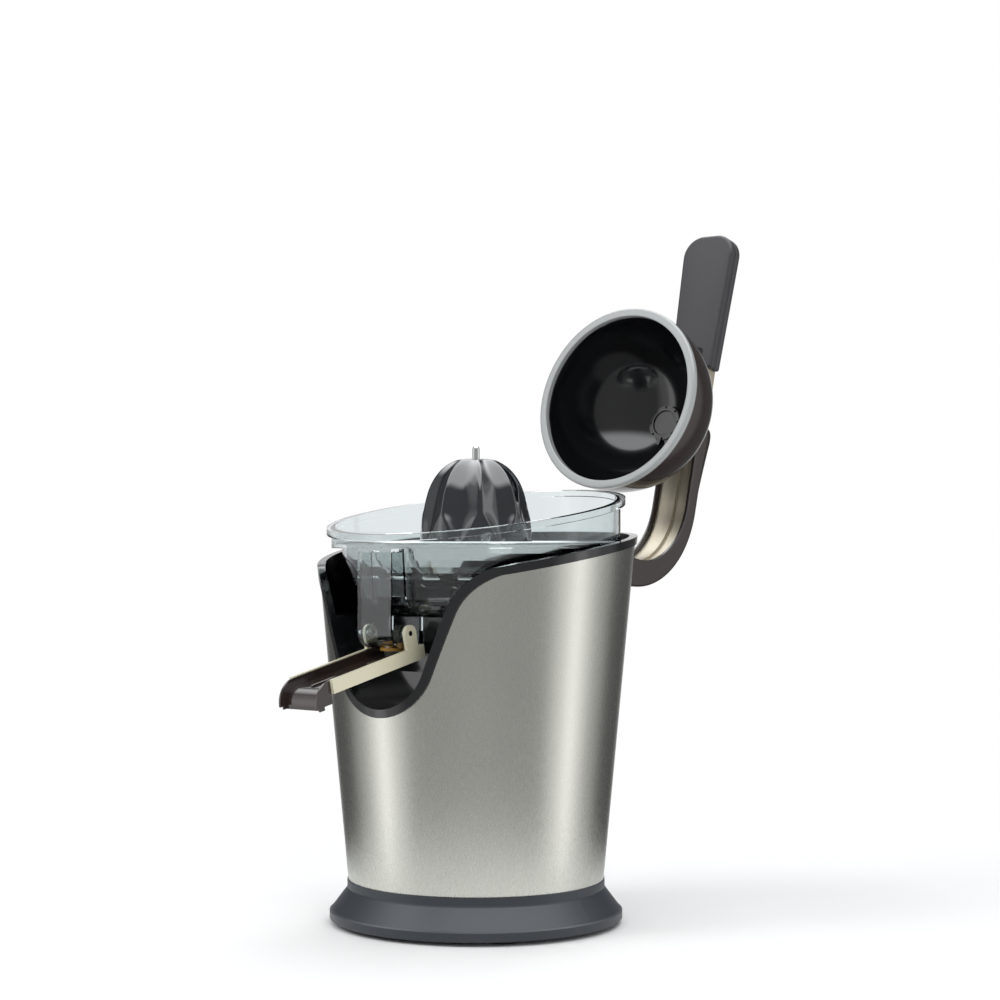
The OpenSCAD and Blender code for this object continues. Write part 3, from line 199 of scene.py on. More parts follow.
def brushed_stainless():
    """Rolled 304 sheet brushed along its height: streaks 0.5 mm apart, coarser than real
    ones so that they show, which stretch the highlights upwards."""
    made, tree, shader = start("brushed_304_stainless")
    base = tuple(colours().steel)
    streak = noise(tree, (2.2, 2.2, 0.012), 4.0, 0.6)
    cloud = noise(tree, (0.012, 0.012, 0.008), 2.0)
    blend = add(tree, "ShaderNodeMath", {0: streak, 1: cloud}, operation="MULTIPLY").outputs[0]
    shader.inputs["Metallic"].default_value = 1.0
    tree.links.new(
        tinted(tree, between(tree, blend, 0.0, 1.8), shade(base, 0.9), shade(base, 1.06)),
        shader.inputs["Base Color"],
    )
    tree.links.new(between(tree, streak, 0.2, 0.36), shader.inputs["Roughness"])
    bump(tree, shader, streak, 0.35, 0.02)
    return made


def polished_stainless():
    """Buffed 304 sheet: a mirror with faint fine scratches."""
    made, tree, shader = start("polished_304_stainless")
    base = srgb("#d3d5d3")
    scratch = noise(tree, (0.6, 0.6, 0.6), 5.0, 0.7)
    shader.inputs["Metallic"].default_value = 1.0
    tree.links.new(
        tinted(tree, scratch, shade(base, 0.94), base), shader.inputs["Base Color"]
    )
    tree.links.new(between(tree, scratch, 0.05, 0.13), shader.inputs["Roughness"])
    bump(tree, shader, scratch, 0.05, 0.01)
    return made


def plated_steel():
    """Zinc-plated steel hardware: bright, a little cloudy."""
    made, tree, shader = start("zinc_plated_steel")
    cloud = noise(tree, (0.5, 0.5, 0.5), 3.0)
    shader.inputs["Metallic"].default_value = 1.0
    tree.links.new(
        tinted(tree, cloud, srgb("#b9bcbd"), srgb("#d0d2d0")), shader.inputs["Base Color"]
    )
    tree.links.new(between(tree, cloud, 0.18, 0.3), shader.inputs["Roughness"])
    return made


def black_oxide():
    """Blackened steel screws: dark, a little glossy, with a fine blotchy oil film."""
    made, tree, shader = start("black_oxide_steel")
    film = noise(tree, (1.0, 1.0, 1.0), 3.0)
    shader.inputs["Metallic"].default_value = 0.7
    tree.links.new(
        tinted(tree, film, srgb("#1b1c1e"), srgb("#2b2c2e")), shader.inputs["Base Color"]
    )
    tree.links.new(between(tree, film, 0.3, 0.5), shader.inputs["Roughness"])
    return made


def machined_steel():
    """Turned and pressed mild steel, oiled: darker and rougher than the plated kind."""
    made, tree, shader = start("machined_mild_steel")
    cloud = noise(tree, (0.3, 0.3, 1.5), 4.0)
    shader.inputs["Metallic"].default_value = 1.0
    tree.links.new(
        tinted(tree, cloud, srgb("#83868a"), srgb("#a3a6a8")), shader.inputs["Base Color"]
    )
    tree.links.new(between(tree, cloud, 0.28, 0.45), shader.inputs["Roughness"])
    bump(tree, shader, cloud, 0.15, 0.02)
    return made


def bare_lever_metal():
    """Die-cast zinc with a warm satin lacquer: soft sheen, no scratches."""
    made, tree, shader = start("lacquered_zinc_casting")
    cloud = noise(tree, (0.08, 0.08, 0.08), 3.0)
    grain = noise(tree, (3.0, 3.0, 3.0), 2.0)
    shader.inputs["Metallic"].default_value = 0.75
    tree.links.new(
        tinted(tree, cloud, srgb("#a79f8d"), srgb("#bdb6a5")), shader.inputs["Base Color"]
    )
    tree.links.new(between(tree, grain, 0.3, 0.4), shader.inputs["Roughness"])
    bump(tree, shader, grain, 0.1, 0.02)
    return made


def moulded(name, base, roughness, grain_mm=0.0, coat=0.0, variation=0.06):
    """Injection-moulded plastic: colour with a slow drift, and a spark-eroded grain if any."""
    made, tree, shader = start(name)
    drift = noise(tree, (0.02, 0.02, 0.02), 2.0)
    tree.links.new(
        tinted(tree, drift, shade(base, 1 - variation), shade(base, 1 + variation)),
        shader.inputs["Base Color"],
    )
    shader.inputs["IOR"].default_value = 1.5
    shader.inputs["Coat Weight"].default_value = coat
    shader.inputs["Coat Roughness"].default_value = 0.04
    if grain_mm:
        grain = noise(tree, (1 / grain_mm,) * 3, 2.0)
        tree.links.new(
            between(tree, grain, roughness * 0.85, roughness * 1.15), shader.inputs["Roughness"]
        )
        bump(tree, shader, grain, 0.3, 0.04)
    else:
        ripple = noise(tree, (0.05, 0.05, 0.05), 1.0)
        tree.links.new(
            between(tree, ripple, roughness * 0.8, roughness * 1.2), shader.inputs["Roughness"]
        )
        bump(tree, shader, ripple, 0.1, 0.06)
    return made


def clear_san():
    """Clear moulded SAN with a faint smoke tint: glassy, slightly wavy walls."""
    made, tree, shader = start("clear_moulded_san")
    wave = noise(tree, (0.03, 0.03, 0.03), 1.0)
    shader.inputs["Base Color"].default_value = srgb("#e3e9ea")
    shader.inputs["Transmission Weight"].default_value = 1.0
    shader.inputs["IOR"].default_value = 1.45
    tree.links.new(between(tree, wave, 0.01, 0.04), shader.inputs["Roughness"])
    bump(tree, shader, wave, 0.1, 0.1)
    return made


def varnished_iron():
    """A stack of 0.5 mm iron laminations under varnish: thin lines round the stack."""
    made, tree, shader = start("varnished_laminations")
    layer = add(
        tree, "ShaderNodeTexWave",
        {"Vector": object_space(tree, (1.0, 1.0, 1.0)), "Scale": 0.3},
        bands_direction="Z",
    ).outputs["Fac"]
    shader.inputs["Metallic"].default_value = 0.6
    tree.links.new(
        tinted(tree, layer, srgb("#3a3c40"), srgb("#62656a")), shader.inputs["Base Color"]
    )
    shader.inputs["Roughness"].default_value = 0.45
    bump(tree, shader, layer, 0.3, 0.1)
    return made


def copper_winding():
    """Enamelled copper wire wound in layers."""
    made, tree, shader = start("enamelled_copper")
    turns = add(
        tree, "ShaderNodeTexWave",
        {"Vector": object_space(tree, (1.0, 1.0, 1.0)), "Scale": 0.6},
        bands_direction="Z",
    ).outputs["Fac"]
    shader.inputs["Metallic"].default_value = 0.9
    tree.links.new(
        tinted(tree, turns, srgb("#7a3f1c"), srgb("#c9793f")), shader.inputs["Base Color"]
    )
    shader.inputs["Roughness"].default_value = 0.35
    bump(tree, shader, turns, 0.5, 0.2)
    return made


# the materials made so far, by slot
FINISHES = {}


def finish_of(slot):
    """The material of one of the record's slots, made once."""
    if slot not in FINISHES:
        c = colours()
        kinds = {
            "brushed_steel": brushed_stainless,
            "polished_steel": polished_stainless,
            "bright_screw": plated_steel,
            "grey_steel": machined_steel,
            "beige_metal": bare_lever_metal,
            "iron_sheet": varnished_iron,
            "copper_wire": copper_winding,
            "clear_bowl": clear_san,
            "gloss_black": lambda: moulded("black_gloss_abs", srgb("#101113"), 0.13, coat=0.4),
            "slate_satin": lambda: moulded("slate_satin_pp", tuple(c.slate), 0.42, 0.35),
            "grip_satin": lambda: moulded("grip_satin_abs", srgb("#353437"), 0.42, 0.3),
            "brown_gloss": lambda: moulded("brown_gloss_abs", tuple(c.brown), 0.16, coat=0.5),
            "reamer_gloss": lambda: moulded("reamer_gloss_abs", tuple(c.reamer), 0.08, coat=1.0),
            "cream": lambda: moulded("cream_gloss_abs", tuple(c.cream), 0.22, coat=0.3),
            "amber_rubber": lambda: moulded("amber_silicone", tuple(c.amber), 0.4, 0.5),
            "foot_rubber": lambda: moulded("black_foot_rubber", srgb("#1c1c1d"), 0.7, 0.4),
            "light_grey": lambda: moulded("mid_grey_abs", srgb("#a0a3a3"), 0.2, coat=0.5),
            "white_nylon": lambda: moulded("natural_nylon", srgb("#e6e2d6"), 0.4, 0.4),
            "carbon": lambda: moulded("motor_carbon", srgb("#1a1a1a"), 0.6, 0.4),
        }
        FINISHES[slot] = kinds[slot]()
    return FINISHES[slot]


SLOT_OF = {row["node"]: row["material_slot"] for row in frame["record"]["subparts"]}


# ---- mesh helpers: every surface is a grid of points


def grid_faces(rows, cols, wrap_rows, wrap_cols):
    """Four-sided faces between neighbouring grid points, closed round where asked."""
    i, j = np.meshgrid(
        np.arange(rows if wrap_rows else rows - 1),
        np.arange(cols if wrap_cols else cols - 1), indexing="ij",
    )
    up, right = (i + 1) % rows, (j + 1) % cols
    return np.stack([i * cols + j, i * cols + right, up * cols + right, up * cols + j], -1)


def seal(mesh, outward=True):
    """Merges doubled points, drops flat faces and points the faces outwards."""
    work = bmesh.new()
    work.from_mesh(mesh)
    bmesh.ops.remove_doubles(work, verts=work.verts, dist=2e-6)
    bmesh.ops.dissolve_degenerate(work, edges=work.edges, dist=1e-7)
    if outward:
        bmesh.ops.recalc_face_normals(work, faces=work.faces)
    work.to_mesh(mesh)
    work.free()


def piece(name, parts, node, sharp=35, instead=True):
    """A finished piece from grids in millimetres; it takes a CAD node's place or adds to it."""
    points, faces, base = [], [], 0
    for grid, wrap_rows, wrap_cols in parts:
        rows, cols = grid.shape[:2]
        points.append(grid.reshape(-1, 3))
        faces.append(grid_faces(rows, cols, wrap_rows, wrap_cols).reshape(-1, 4) + base)
        base += rows * cols
    mesh = bpy.data.meshes.new(name)
    mesh.from_pydata((np.vstack(points) * MM).tolist(), [], np.vstack(faces).tolist())
    seal(mesh)
    mesh.shade_smooth()
    mesh.set_sharp_from_angle(angle=math.radians(sharp))
    made = bpy.data.objects.new(name, mesh)
    bpy.context.collection.objects.link(made)
    mesh.materials.append(finish_of(SLOT_OF[node]))
    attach(made, body_of(node))
    if instead:
        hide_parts(node)
    return made


def body_of(node):
    """Name of the moving body that holds a CAD node."""
    bodies = frame["record"]["behaviour"]["bodies"]
    return next(name for name, members in bodies.items() if node in members)


def rounded(corners, steps=6):
    """A closed outline whose corners (a, b, radius) are arcs tangent to both sides."""
    table = np.array(corners, float)
    p, radius = table[:, :2], table[:, 2:]
    before, after = np.roll(p, 1, 0) - p, np.roll(p, -1, 0) - p
    before /= np.linalg.norm(before, axis=1, keepdims=True)
    after /= np.linalg.norm(after, axis=1, keepdims=True)
    half = np.arccos(np.clip((before * after).sum(1, keepdims=True), -1, 1)) / 2
    middle = before + after
    middle /= np.maximum(np.linalg.norm(middle, axis=1, keepdims=True), 1e-9)
    centre = p + middle * radius / np.sin(half)
    first = p + before * radius / np.tan(half) - centre
    last = p + after * radius / np.tan(half) - centre
    a0, a1 = np.arctan2(first[:, 1], first[:, 0]), np.arctan2(last[:, 1], last[:, 0])
    turn = (a1 - a0 + math.pi) % (2 * math.pi) - math.pi
    angle = a0[:, None] + turn[:, None] * np.linspace(0, 1, steps + 1)
    arc = np.stack([np.cos(angle), np.sin(angle)], -1) * radius[:, :, None] + centre[:, None]
    return arc.reshape(-1, 2)


def lathe(profile, turns=160):
    """A profile of (radius, height) turned about the vertical axis."""
    angle = np.linspace(0, 2 * math.pi, turns, endpoint=False)
    r, z = np.array(profile).T
    return np.stack(
        [r[:, None] * np.cos(angle), r[:, None] * np.sin(angle),
         np.broadcast_to(z[:, None], (len(r), turns))], -1,
    )


LEVER_JOINT = next(
    joint for joint in frame["record"]["behaviour"]["joints"] if joint["name"] == "lever_hinge"
)
HINGE = np.array(LEVER_JOINT["pos_m"]) / MM
LEVER_OPEN = -math.radians(min(LEVER_JOINT["range_deg"]))


def opened(points):
    """Turns lever points drawn closed to their place when open: about X at the hinge."""
    c, s = math.cos(-LEVER_OPEN), math.sin(-LEVER_OPEN)
    turn = np.array([[1, 0, 0], [0, c, -s], [0, s, c]])
    return (points - HINGE) @ turn.T + HINGE


# ---- swept pieces

# depth of a section as it is drawn, and how near its top a point counts as its web
SECTION_DEPTH, WEB_DEPTH = 12.0, 2.0
INSIDE_ROUND = 0.8


def swept(foot, head, outline, deep, raised=0.0):
    """A section carried along a path. Station k runs from head[k] down to foot[k], both
    (Y, Z); outline is (X, depth under the head). Points marked deep keep their distance
    from the foot; raised lifts the outside of the web by so much at each station."""
    along = foot - head
    size = np.linalg.norm(along, axis=1)
    down = along / size[:, None]
    depth = outline[None, :, 1] + np.where(deep, size[:, None] - SECTION_DEPTH, 0)
    outside = (outline[:, 1] < WEB_DEPTH) & (np.arange(len(outline)) < len(outline) // 2)
    depth = depth - np.broadcast_to(raised, size.shape)[:, None] * outside
    at = head[:, None, :] + depth[:, :, None] * down[:, None, :]
    x = np.broadcast_to(outline[:, 0], depth.shape)
    return np.concatenate([x[:, :, None], at], -1)


def channel_outline(half, wall, outer_round, lip_round, steps=5):
    """A U section: web at depth 0, flanges down to SECTION_DEPTH; its points run round the
    outside, then back along the inside, so that point i lies across from point -1 - i."""
    d = SECTION_DEPTH
    corners = [
        (-half, d, lip_round), (-half, 0, outer_round), (half, 0, outer_round),
        (half, d, lip_round), (half - wall, d, lip_round), (half - wall, wall, INSIDE_ROUND),
        (wall - half, wall, INSIDE_ROUND), (wall - half, d, lip_round),
    ]
    deep = np.repeat([c[1] == d for c in corners], steps + 1)
    return rounded(corners, steps), deep


def channel_caps(grid):
    """Closes both ends of a swept channel: a strip between its outside and its inside."""
    half = grid.shape[1] // 2
    return [
        (np.stack([end[:half], end[half:][::-1]]), False, False) for end in (grid[0], grid[-1])
    ]


def fan_caps(grid):
    """Closes both ends of a swept solid section with a fan about its middle."""
    return [
        (np.stack([end, np.broadcast_to(end.mean(0), end.shape)]), False, True)
        for end in (grid[0], grid[-1])
    ]


def bend_path(centre, radius, start_y, foot_z, straight, arc=64, fall=8):
    """Level from start_y to above the centre, a quarter circle, then straight down."""
    angle = np.linspace(math.pi / 2, 0, arc + 1)[1:-1]
    level = np.linspace(start_y, centre[0], straight)
    return np.concatenate([
        np.stack([level, np.full(straight, centre[1] + radius)], -1),
        np.array(centre) + radius * np.stack([np.cos(angle), np.sin(angle)], -1),
        np.stack([np.full(fall, centre[0] + radius), np.linspace(centre[1], foot_z, fall)], -1),
    ])


def prism(outline, low, high, edge):
    """An upright block from a closed (X, Y) outline, its top and bottom edges rounded: each
    row is the outline moved inwards by edge * (1 - cos a) while it climbs edge * sin a."""
    step = np.linspace(0, math.pi / 2, 6)
    inset = edge * (1 - np.cos(step))
    climb = edge * np.sin(step)
    rows = [(inset[k], high - edge + climb[k]) for k in range(6)]
    rows = [(inset[k], low + edge - climb[k]) for k in range(5, -1, -1)] + rows
    inwards = inward(outline)
    grid = np.stack([
        np.column_stack([outline + inwards * d, np.full(len(outline), z)]) for d, z in rows
    ])
    return [(grid, False, True), *fan_caps(grid)]


def inward(outline):
    """Unit normals that point into a closed outline."""
    ahead = np.roll(outline, -1, 0) - np.roll(outline, 1, 0)
    ahead /= np.linalg.norm(ahead, axis=1, keepdims=True)
    normal = np.stack([-ahead[:, 1], ahead[:, 0]], -1)
    x, y = outline.T
    area = (x * np.roll(y, -1) - np.roll(x, -1) * y).sum()
    return normal * (1.0 if area > 0 else -1.0)


def turned_about(points, degrees):
    """Points turned about the vertical axis."""
    a = math.radians(degrees)
    c, s = math.cos(a), math.sin(a)
    return points @ np.array([[c, -s, 0], [s, c, 0], [0, 0, 1]]).T


# ---- body skin

SKIN_FOOT_R, SKIN_TOP_R, SKIN_FOOT_Z, RIM_H, SKIN_T = 79.0, 99.0, 27.0, 241.0, 1.0
# the black band of the inner shell that shows above the steel
RIM_BAND = 5.0
# the rim's long arc in side view: its radius and the Y where it would be level
RIM_ARC_R, CROWN_Y = 1000.0, 140.0
# the spout's cut-out in front view: lowest point, round bottom, half width at the rim
CUT_H, CUT_R, CUT_REACH = 136.0, 34.0, 72.0
FLANK_LEAN, FLARE_END, CUT_AWAY = math.radians(22), math.radians(24), math.radians(30)
CUT_IN_FRONT_OF = -20.0
RIM_STEPS = 20


def skin_r(z):
    """Radius of the conical skin at a height."""
    return SKIN_FOOT_R + (z - SKIN_FOOT_Z) * (SKIN_TOP_R - SKIN_FOOT_R) / (RIM_H - SKIN_FOOT_Z)


def rim_arc(y, g):
    """Height of the rim's long arc in side view, g further in: a circle level at CROWN_Y."""
    crown = RIM_H - math.sqrt(RIM_ARC_R**2 - (CROWN_Y - SKIN_TOP_R) ** 2)
    return crown + np.sqrt((RIM_ARC_R - g) ** 2 - (CROWN_Y - y) ** 2)


def cut_line(x, g):
    """Height of the spout cut-out in front view, g outside it: a round bottom, a flank that
    leans, a flare that is tangent to the flank, and a line that clears the rim."""
    up = np.array([math.sin(FLANK_LEAN), math.cos(FLANK_LEAN)])
    side = np.array([up[1], -up[0]])
    middle = CUT_H + CUT_R
    foot = np.array([0, middle]) + CUT_R * side
    front = -math.sqrt((SKIN_TOP_R - 2) ** 2 - CUT_REACH**2)
    rise = np.array([CUT_REACH, float(rim_arc(front, 0))]) - foot
    tip_way = np.array([-math.sin(FLARE_END), math.cos(FLARE_END)])
    way = side + tip_way
    det = up[0] * way[1] - up[1] * way[0]
    flare_r = (up[0] * rise[1] - up[1] * rise[0]) / det
    flank_l = (rise[0] * way[1] - rise[1] * way[0]) / det
    flare_c = foot + flank_l * up + flare_r * side
    low = np.array([0, middle]) + (CUT_R + g) * side
    inner = flare_r - g
    high = flare_c - inner * side
    tip = flare_c + inner * tip_way
    x = np.abs(x)
    bottom = middle - np.sqrt(np.maximum((CUT_R + g) ** 2 - x**2, 0))
    flank = low[1] + (x - low[0]) * up[1] / up[0]
    flare = flare_c[1] + np.sqrt(np.maximum(inner**2 - (x - flare_c[0]) ** 2, 0))
    away = tip[1] + (x - tip[0]) * math.tan(CUT_AWAY)
    return np.select([x <= low[0], x <= high[0], x <= tip[0]], [bottom, flank, flare], away)


def rim_height(angle, outset, g):
    """Height of the rim line at each angle: the height sets the cone's radius and the radius
    sets the height, so both are settled by repeating the step."""
    z = np.full(angle.shape, 200.0)
    for _ in range(RIM_STEPS):
        r = skin_r(z) + outset
        x, y = r * np.cos(angle), r * np.sin(angle)
        arc = rim_arc(y, g)
        z = np.where(y < CUT_IN_FRONT_OF, np.minimum(arc, cut_line(x, g)), arc)
    return z


def steel_skin(turns=900, levels=12):
    """The rolled skin: straight lines up a cone, cut off along the rim line."""
    angle = np.linspace(0, 2 * math.pi, turns, endpoint=False)
    share = np.linspace(0, 1, levels)[:, None]
    walls = []
    for inset, order in ((0.0, 1), (SKIN_T, -1)):
        top = rim_height(angle, -inset, RIM_BAND)
        z = SKIN_FOOT_Z + (top - SKIN_FOOT_Z) * share
        r = skin_r(z) - inset
        wall = np.stack([r * np.cos(angle), r * np.sin(angle), z], -1)
        walls.append(wall[::order])
    piece("body_skin", [(np.concatenate(walls), True, True)], "steel_skin", 40)


# ---- reamers

RIBS = 8
LARGE_H, LARGE_R, LARGE_FLUTE = 63.0, 35.0, 4.4
SMALL_H, SMALL_FOOT, SMALL_R = 66.0, 4.0, 24.0
RING_R, RING_H, NOTCHES, NOTCH_W, NOTCH_H = 35.0, 12.0, 12, 5.0, 4.0
# share of a rib's pitch per millimetre of rounding, and the softness of a flute's edge
RIB_EASE, DIP_EASE = 0.07, 0.002
LEAST_WIDTH = 0.02
# the hollows from the top down: radius, height above the foot
LARGE_HOLLOW = (
    (2.2, 63.0), (2.2, 56.0), (9.0, 56.0), (16.5, 48.0), (25.0, 30.0), (32.0, 12.0),
    (32.8, 12.0), (32.8, 0.4), (33.2, 0.0),
)
SMALL_HOLLOW = (
    (0.01, 61.5), (6.0, 59.5), (8.6, 53.0), (8.6, 47.0), (11.8, 47.0), (11.8, 27.0),
    (15.2, 27.0), (17.6, 13.1), (22.0, 13.0), (22.0, 4.0), (SMALL_R + 1.4, 4.0),
)
LUG_IN, LUG_OUT, LUG_HALF_W, LUG_DROP, LUG_RISE, LUG_EDGE = 33.3, 34.75, 2.0, 3.4, 0.6, 0.4
# where the small cone's outside begins, above the fillet that joins it to the web
FILLET_TOP = 8.4
WING_ANGLES = (40, 220)
# a wing's underside, top and half width at a few distances from the axis
WING_LOW = ((33.6, 40, 46, 51, 55), (5.0, 5.0, 5.1, 7.0, 12.2))
WING_HIGH = ((33.6, 37, 42, 48, 52.5, 55), (10.6, 9.8, 9.7, 11.2, 13.6, 14.0))
WING_HALF = ((33.6, 45, 52, 55), (6.4, 5.2, 3.0, 1.6))
WING_ROOT, WING_BEND, WING_TIP = 33.6, 50.0, 55.0

# share of the height, share of the radius, flute depth, share of the flute's full width
LARGE_ROWS = (
    (0, 1, 0, 0.02), (0.08, 1, 0, 0.02), (0.15, 0.997, 0, 0.04), (0.21, 0.992, 0.3, 0.3),
    (0.29, 0.985, 0.62, 0.52), (0.38, 0.97, 0.88, 0.76), (0.48, 0.94, 1, 1),
    (0.58, 0.9, 1, 1), (0.68, 0.85, 1, 1), (0.77, 0.78, 1, 1), (0.85, 0.685, 0.95, 1),
    (0.915, 0.57, 0.85, 1), (0.965, 0.43, 0.65, 1), (0.992, 0.3, 0.35, 1), (1, 0.12, 0.04, 1),
)
SMALL_ROWS = (
    (0, 1, 0, 0.02), (0.13, 1, 0, 0.04), (0.2, 0.998, 0.33, 0.3), (0.28, 0.99, 0.7, 0.55),
    (0.37, 0.975, 0.93, 0.8), (0.47, 0.94, 1, 1), (0.57, 0.88, 1, 1), (0.67, 0.8, 1, 1),
    (0.76, 0.71, 0.95, 1), (0.84, 0.595, 0.85, 1), (0.91, 0.455, 0.65, 1),
    (0.96, 0.3, 0.4, 1), (1, 0.1, 0.08, 1),
)


def smooth_rows(values, t):
    """Catmull-Rom curve through evenly spaced values, read at t from 0 to 1."""
    n = len(values) - 1
    at = np.clip(t * n, 0, n - 1e-9)
    i = at.astype(int)
    f = at - i
    v = np.concatenate([[2 * values[0] - values[1]], values, [2 * values[-1] - values[-2]]])
    a, b, c, d = v[i], v[i + 1], v[i + 2], v[i + 3]
    return 0.5 * (2 * b + (c - a) * f + (2 * a - 5 * b + 4 * c - d) * f**2
                  + (3 * b - a - 3 * c + d) * f**3)


def fluted(rows, height, radius, flute, turns=RIBS * 28, levels=110):
    """Points of a fluted cone. q runs from -1 on one rib to 1 on the next, and is eased near
    the ribs so that they are round; the radius dips by flute * share * (1 - (q / width)^2),
    and the dip's edge is eased where the flute is narrower than its full width."""
    table = np.array(rows, float)
    t = np.linspace(0, 1, levels)
    share_h, share_r, depth, width = (smooth_rows(column, t)[:, None] for column in table.T)
    angle = np.linspace(0, 2 * math.pi, turns, endpoint=False)
    q = 2 * ((angle * RIBS / (2 * math.pi)) % 1) - 1
    ease = sizes().rib_round / MM * RIB_EASE
    rib = 1 - (np.sqrt((1 - np.abs(q)) ** 2 + ease**2) - ease)
    dip = 1 - (rib / np.maximum(width, LEAST_WIDTH)) ** 2
    dip = (dip + np.sqrt(dip**2 + DIP_EASE)) / 2
    r = radius * share_r - flute * np.clip(depth, 0, None) * dip
    return np.stack(
        [r * np.cos(angle), r * np.sin(angle), np.broadcast_to(height * share_h, r.shape)], -1
    )


def large_reamer():
    """Large cone: its fluted outside, the rounded foot, the stepped hollow and four lugs."""
    foot = corner("large_reamer", 1)[2] - LARGE_H
    outside = fluted(LARGE_ROWS, LARGE_H, LARGE_R, LARGE_FLUTE)
    turns = outside.shape[1]
    # the two lowest rows stand a little higher, so that the foot's edge is round
    outside[:2, :, 2] = np.array([0.5, 0.9])[:, None]
    edge = lathe([(LARGE_R - 0.5, 0.0), (LARGE_R - 0.15, 0.15)], turns)
    hollow = lathe(LARGE_HOLLOW, turns)
    parts = [(np.concatenate([hollow, edge, outside]) + (0, 0, foot), True, True)]
    half = LUG_HALF_W
    lug = rounded(
        [(LUG_IN, -half, LUG_EDGE), (LUG_OUT, -half, LUG_EDGE), (LUG_OUT, half, LUG_EDGE),
         (LUG_IN, half, LUG_EDGE)], 3,
    )
    for turn in range(0, 360, 90):
        for grid, wrap_rows, wrap_cols in prism(lug, foot - LUG_DROP, foot + LUG_RISE, LUG_EDGE):
            parts.append((turned_about(grid, turn), wrap_rows, wrap_cols))
    piece("reamer_large", parts, "large_reamer", 40)


def wing(angle):
    """Pulp wing: a boat-shaped blade. Its half width and its top and bottom heights are
    curves of the distance from the axis; the section is |x|^4 + |z|^4 = 1, stretched."""
    out = np.concatenate([
        np.linspace(WING_ROOT, WING_BEND, 14), np.linspace(WING_BEND + 0.5, WING_TIP, 10)
    ])
    low, high, half = (smooth_curve(out, *curve) for curve in (WING_LOW, WING_HIGH, WING_HALF))
    turn = np.linspace(0, 2 * math.pi, 28, endpoint=False)
    side = half[:, None] * squared(np.cos(turn))
    height = (low + high)[:, None] / 2 + (high - low)[:, None] / 2 * squared(np.sin(turn))
    grid = np.stack([np.broadcast_to(out[:, None], side.shape), side, height], -1)
    shell = [(grid, False, True), *fan_caps(grid)]
    return [(turned_about(points, angle), rows, cols) for points, rows, cols in shell]


def squared(v):
    """Bends a cosine or a sine so that the pair traces |x|^4 + |z|^4 = 1."""
    return np.sign(v) * np.sqrt(np.abs(v))


def smooth_curve(at, knots, values):
    """A soft curve through a few values: straight steps averaged over a short window."""
    span = (knots[-1] - knots[0]) * 0.06
    offsets = np.linspace(-span, span, 9)
    return np.mean([np.interp(at + o, knots, values) for o in offsets], axis=0)


def small_reamer():
    """Small cone, the ring it stands on, and two wings: its fluted outside starts above the
    ring's web and runs into it through a small fillet, and the hollow closes it below."""
    foot = corner("small_reamer", 0)[2]
    outside = fluted(SMALL_ROWS, SMALL_H - SMALL_FOOT, SMALL_R, 3.0) + (0, 0, SMALL_FOOT)
    turns = outside.shape[1]
    blend_in = lathe([(SMALL_R + 1.4, 6.4), (SMALL_R + 0.5, 6.7), (SMALL_R + 0.1, 7.6)], turns)
    keep = outside[outside[:, 0, 2] > FILLET_TOP]
    hollow = lathe(SMALL_HOLLOW, turns)
    top = keep[-1:] * (0.001, 0.001, 1)
    cone = np.concatenate([hollow, blend_in, keep, top])
    parts = [(cone + (0, 0, foot), False, True), (ring_grid() + (0, 0, foot), True, True)]
    for angle in WING_ANGLES:
        parts += [(g + (0, 0, foot), a, b) for g, a, b in wing(angle)]
    piece("reamer_small", parts, "small_reamer", 40)


def ring_grid():
    """Castellated ring and the web under it. Each column of points is the same rounded
    profile; its top rows drop by NOTCH_H where the angle falls inside a notch."""
    half = math.degrees(math.asin(NOTCH_W / 2 / RING_R))
    pitch = 360 / NOTCHES
    local = np.concatenate([
        [-half - 0.5, -half + 0.1, half - 0.1, half + 0.5],
        np.linspace(half + 1.5, pitch - half - 1.5, 18),
    ])
    depth = np.where(np.abs(local) < half, NOTCH_H, 0.0)
    angle = np.radians((local + pitch * np.arange(NOTCHES)[:, None]).ravel())
    drop = np.tile(depth, NOTCHES)
    profile = rounded(
        [(33, 0, 0.4), (35, 0, 0.5), (35, RING_H, 0.6), (33, RING_H, 0.6), (33, 6.5, 0.3),
         (23.5, 6.5, 0.3), (23.5, 4, 0.3), (33, 4, 0.3)], 3,
    )
    r, z = profile.T
    high = z[:, None] - drop * (z[:, None] > RING_H - 1)
    return np.stack([r[:, None] * np.cos(angle), r[:, None] * np.sin(angle), high], -1)


# ---- press dome, drawn closed

ROUND_STEPS = 200
DOME_R, DOME_T, LINER_T = 62.5, 2.2, 2.2
LINER_GAP, BOLT_R = 0.5, 2.7
LINER_R = DOME_R - DOME_T - LINER_GAP
DOME_RIM_Z, DOME_RING_H, DOME_CENTRE_Z = 239.0, 4.0, 244.5


def bell(radius, wall, lip):
    """A dome with a short straight skirt: a quarter circle outside and inside, joined by a
    rounded lip; closed at the bolt hole on the axis."""
    foot = DOME_RIM_Z + DOME_RING_H
    first = math.asin(BOLT_R / radius)
    down = np.linspace(first, math.pi / 2, 70)
    outside = np.stack([radius * np.sin(down), DOME_CENTRE_Z + radius * np.cos(down)], -1)
    inner = radius - wall
    up = np.linspace(math.pi / 2, math.asin(BOLT_R / inner), 70)
    inside = np.stack([inner * np.sin(up), DOME_CENTRE_Z + inner * np.cos(up)], -1)
    skirt = [(radius, foot + lip), (radius - lip * 0.3, foot + lip * 0.3), (radius - lip, foot),
             (inner + 0.3, foot), (inner, foot + 0.3)]
    return opened(lathe(np.concatenate([outside, skirt, inside]), ROUND_STEPS))


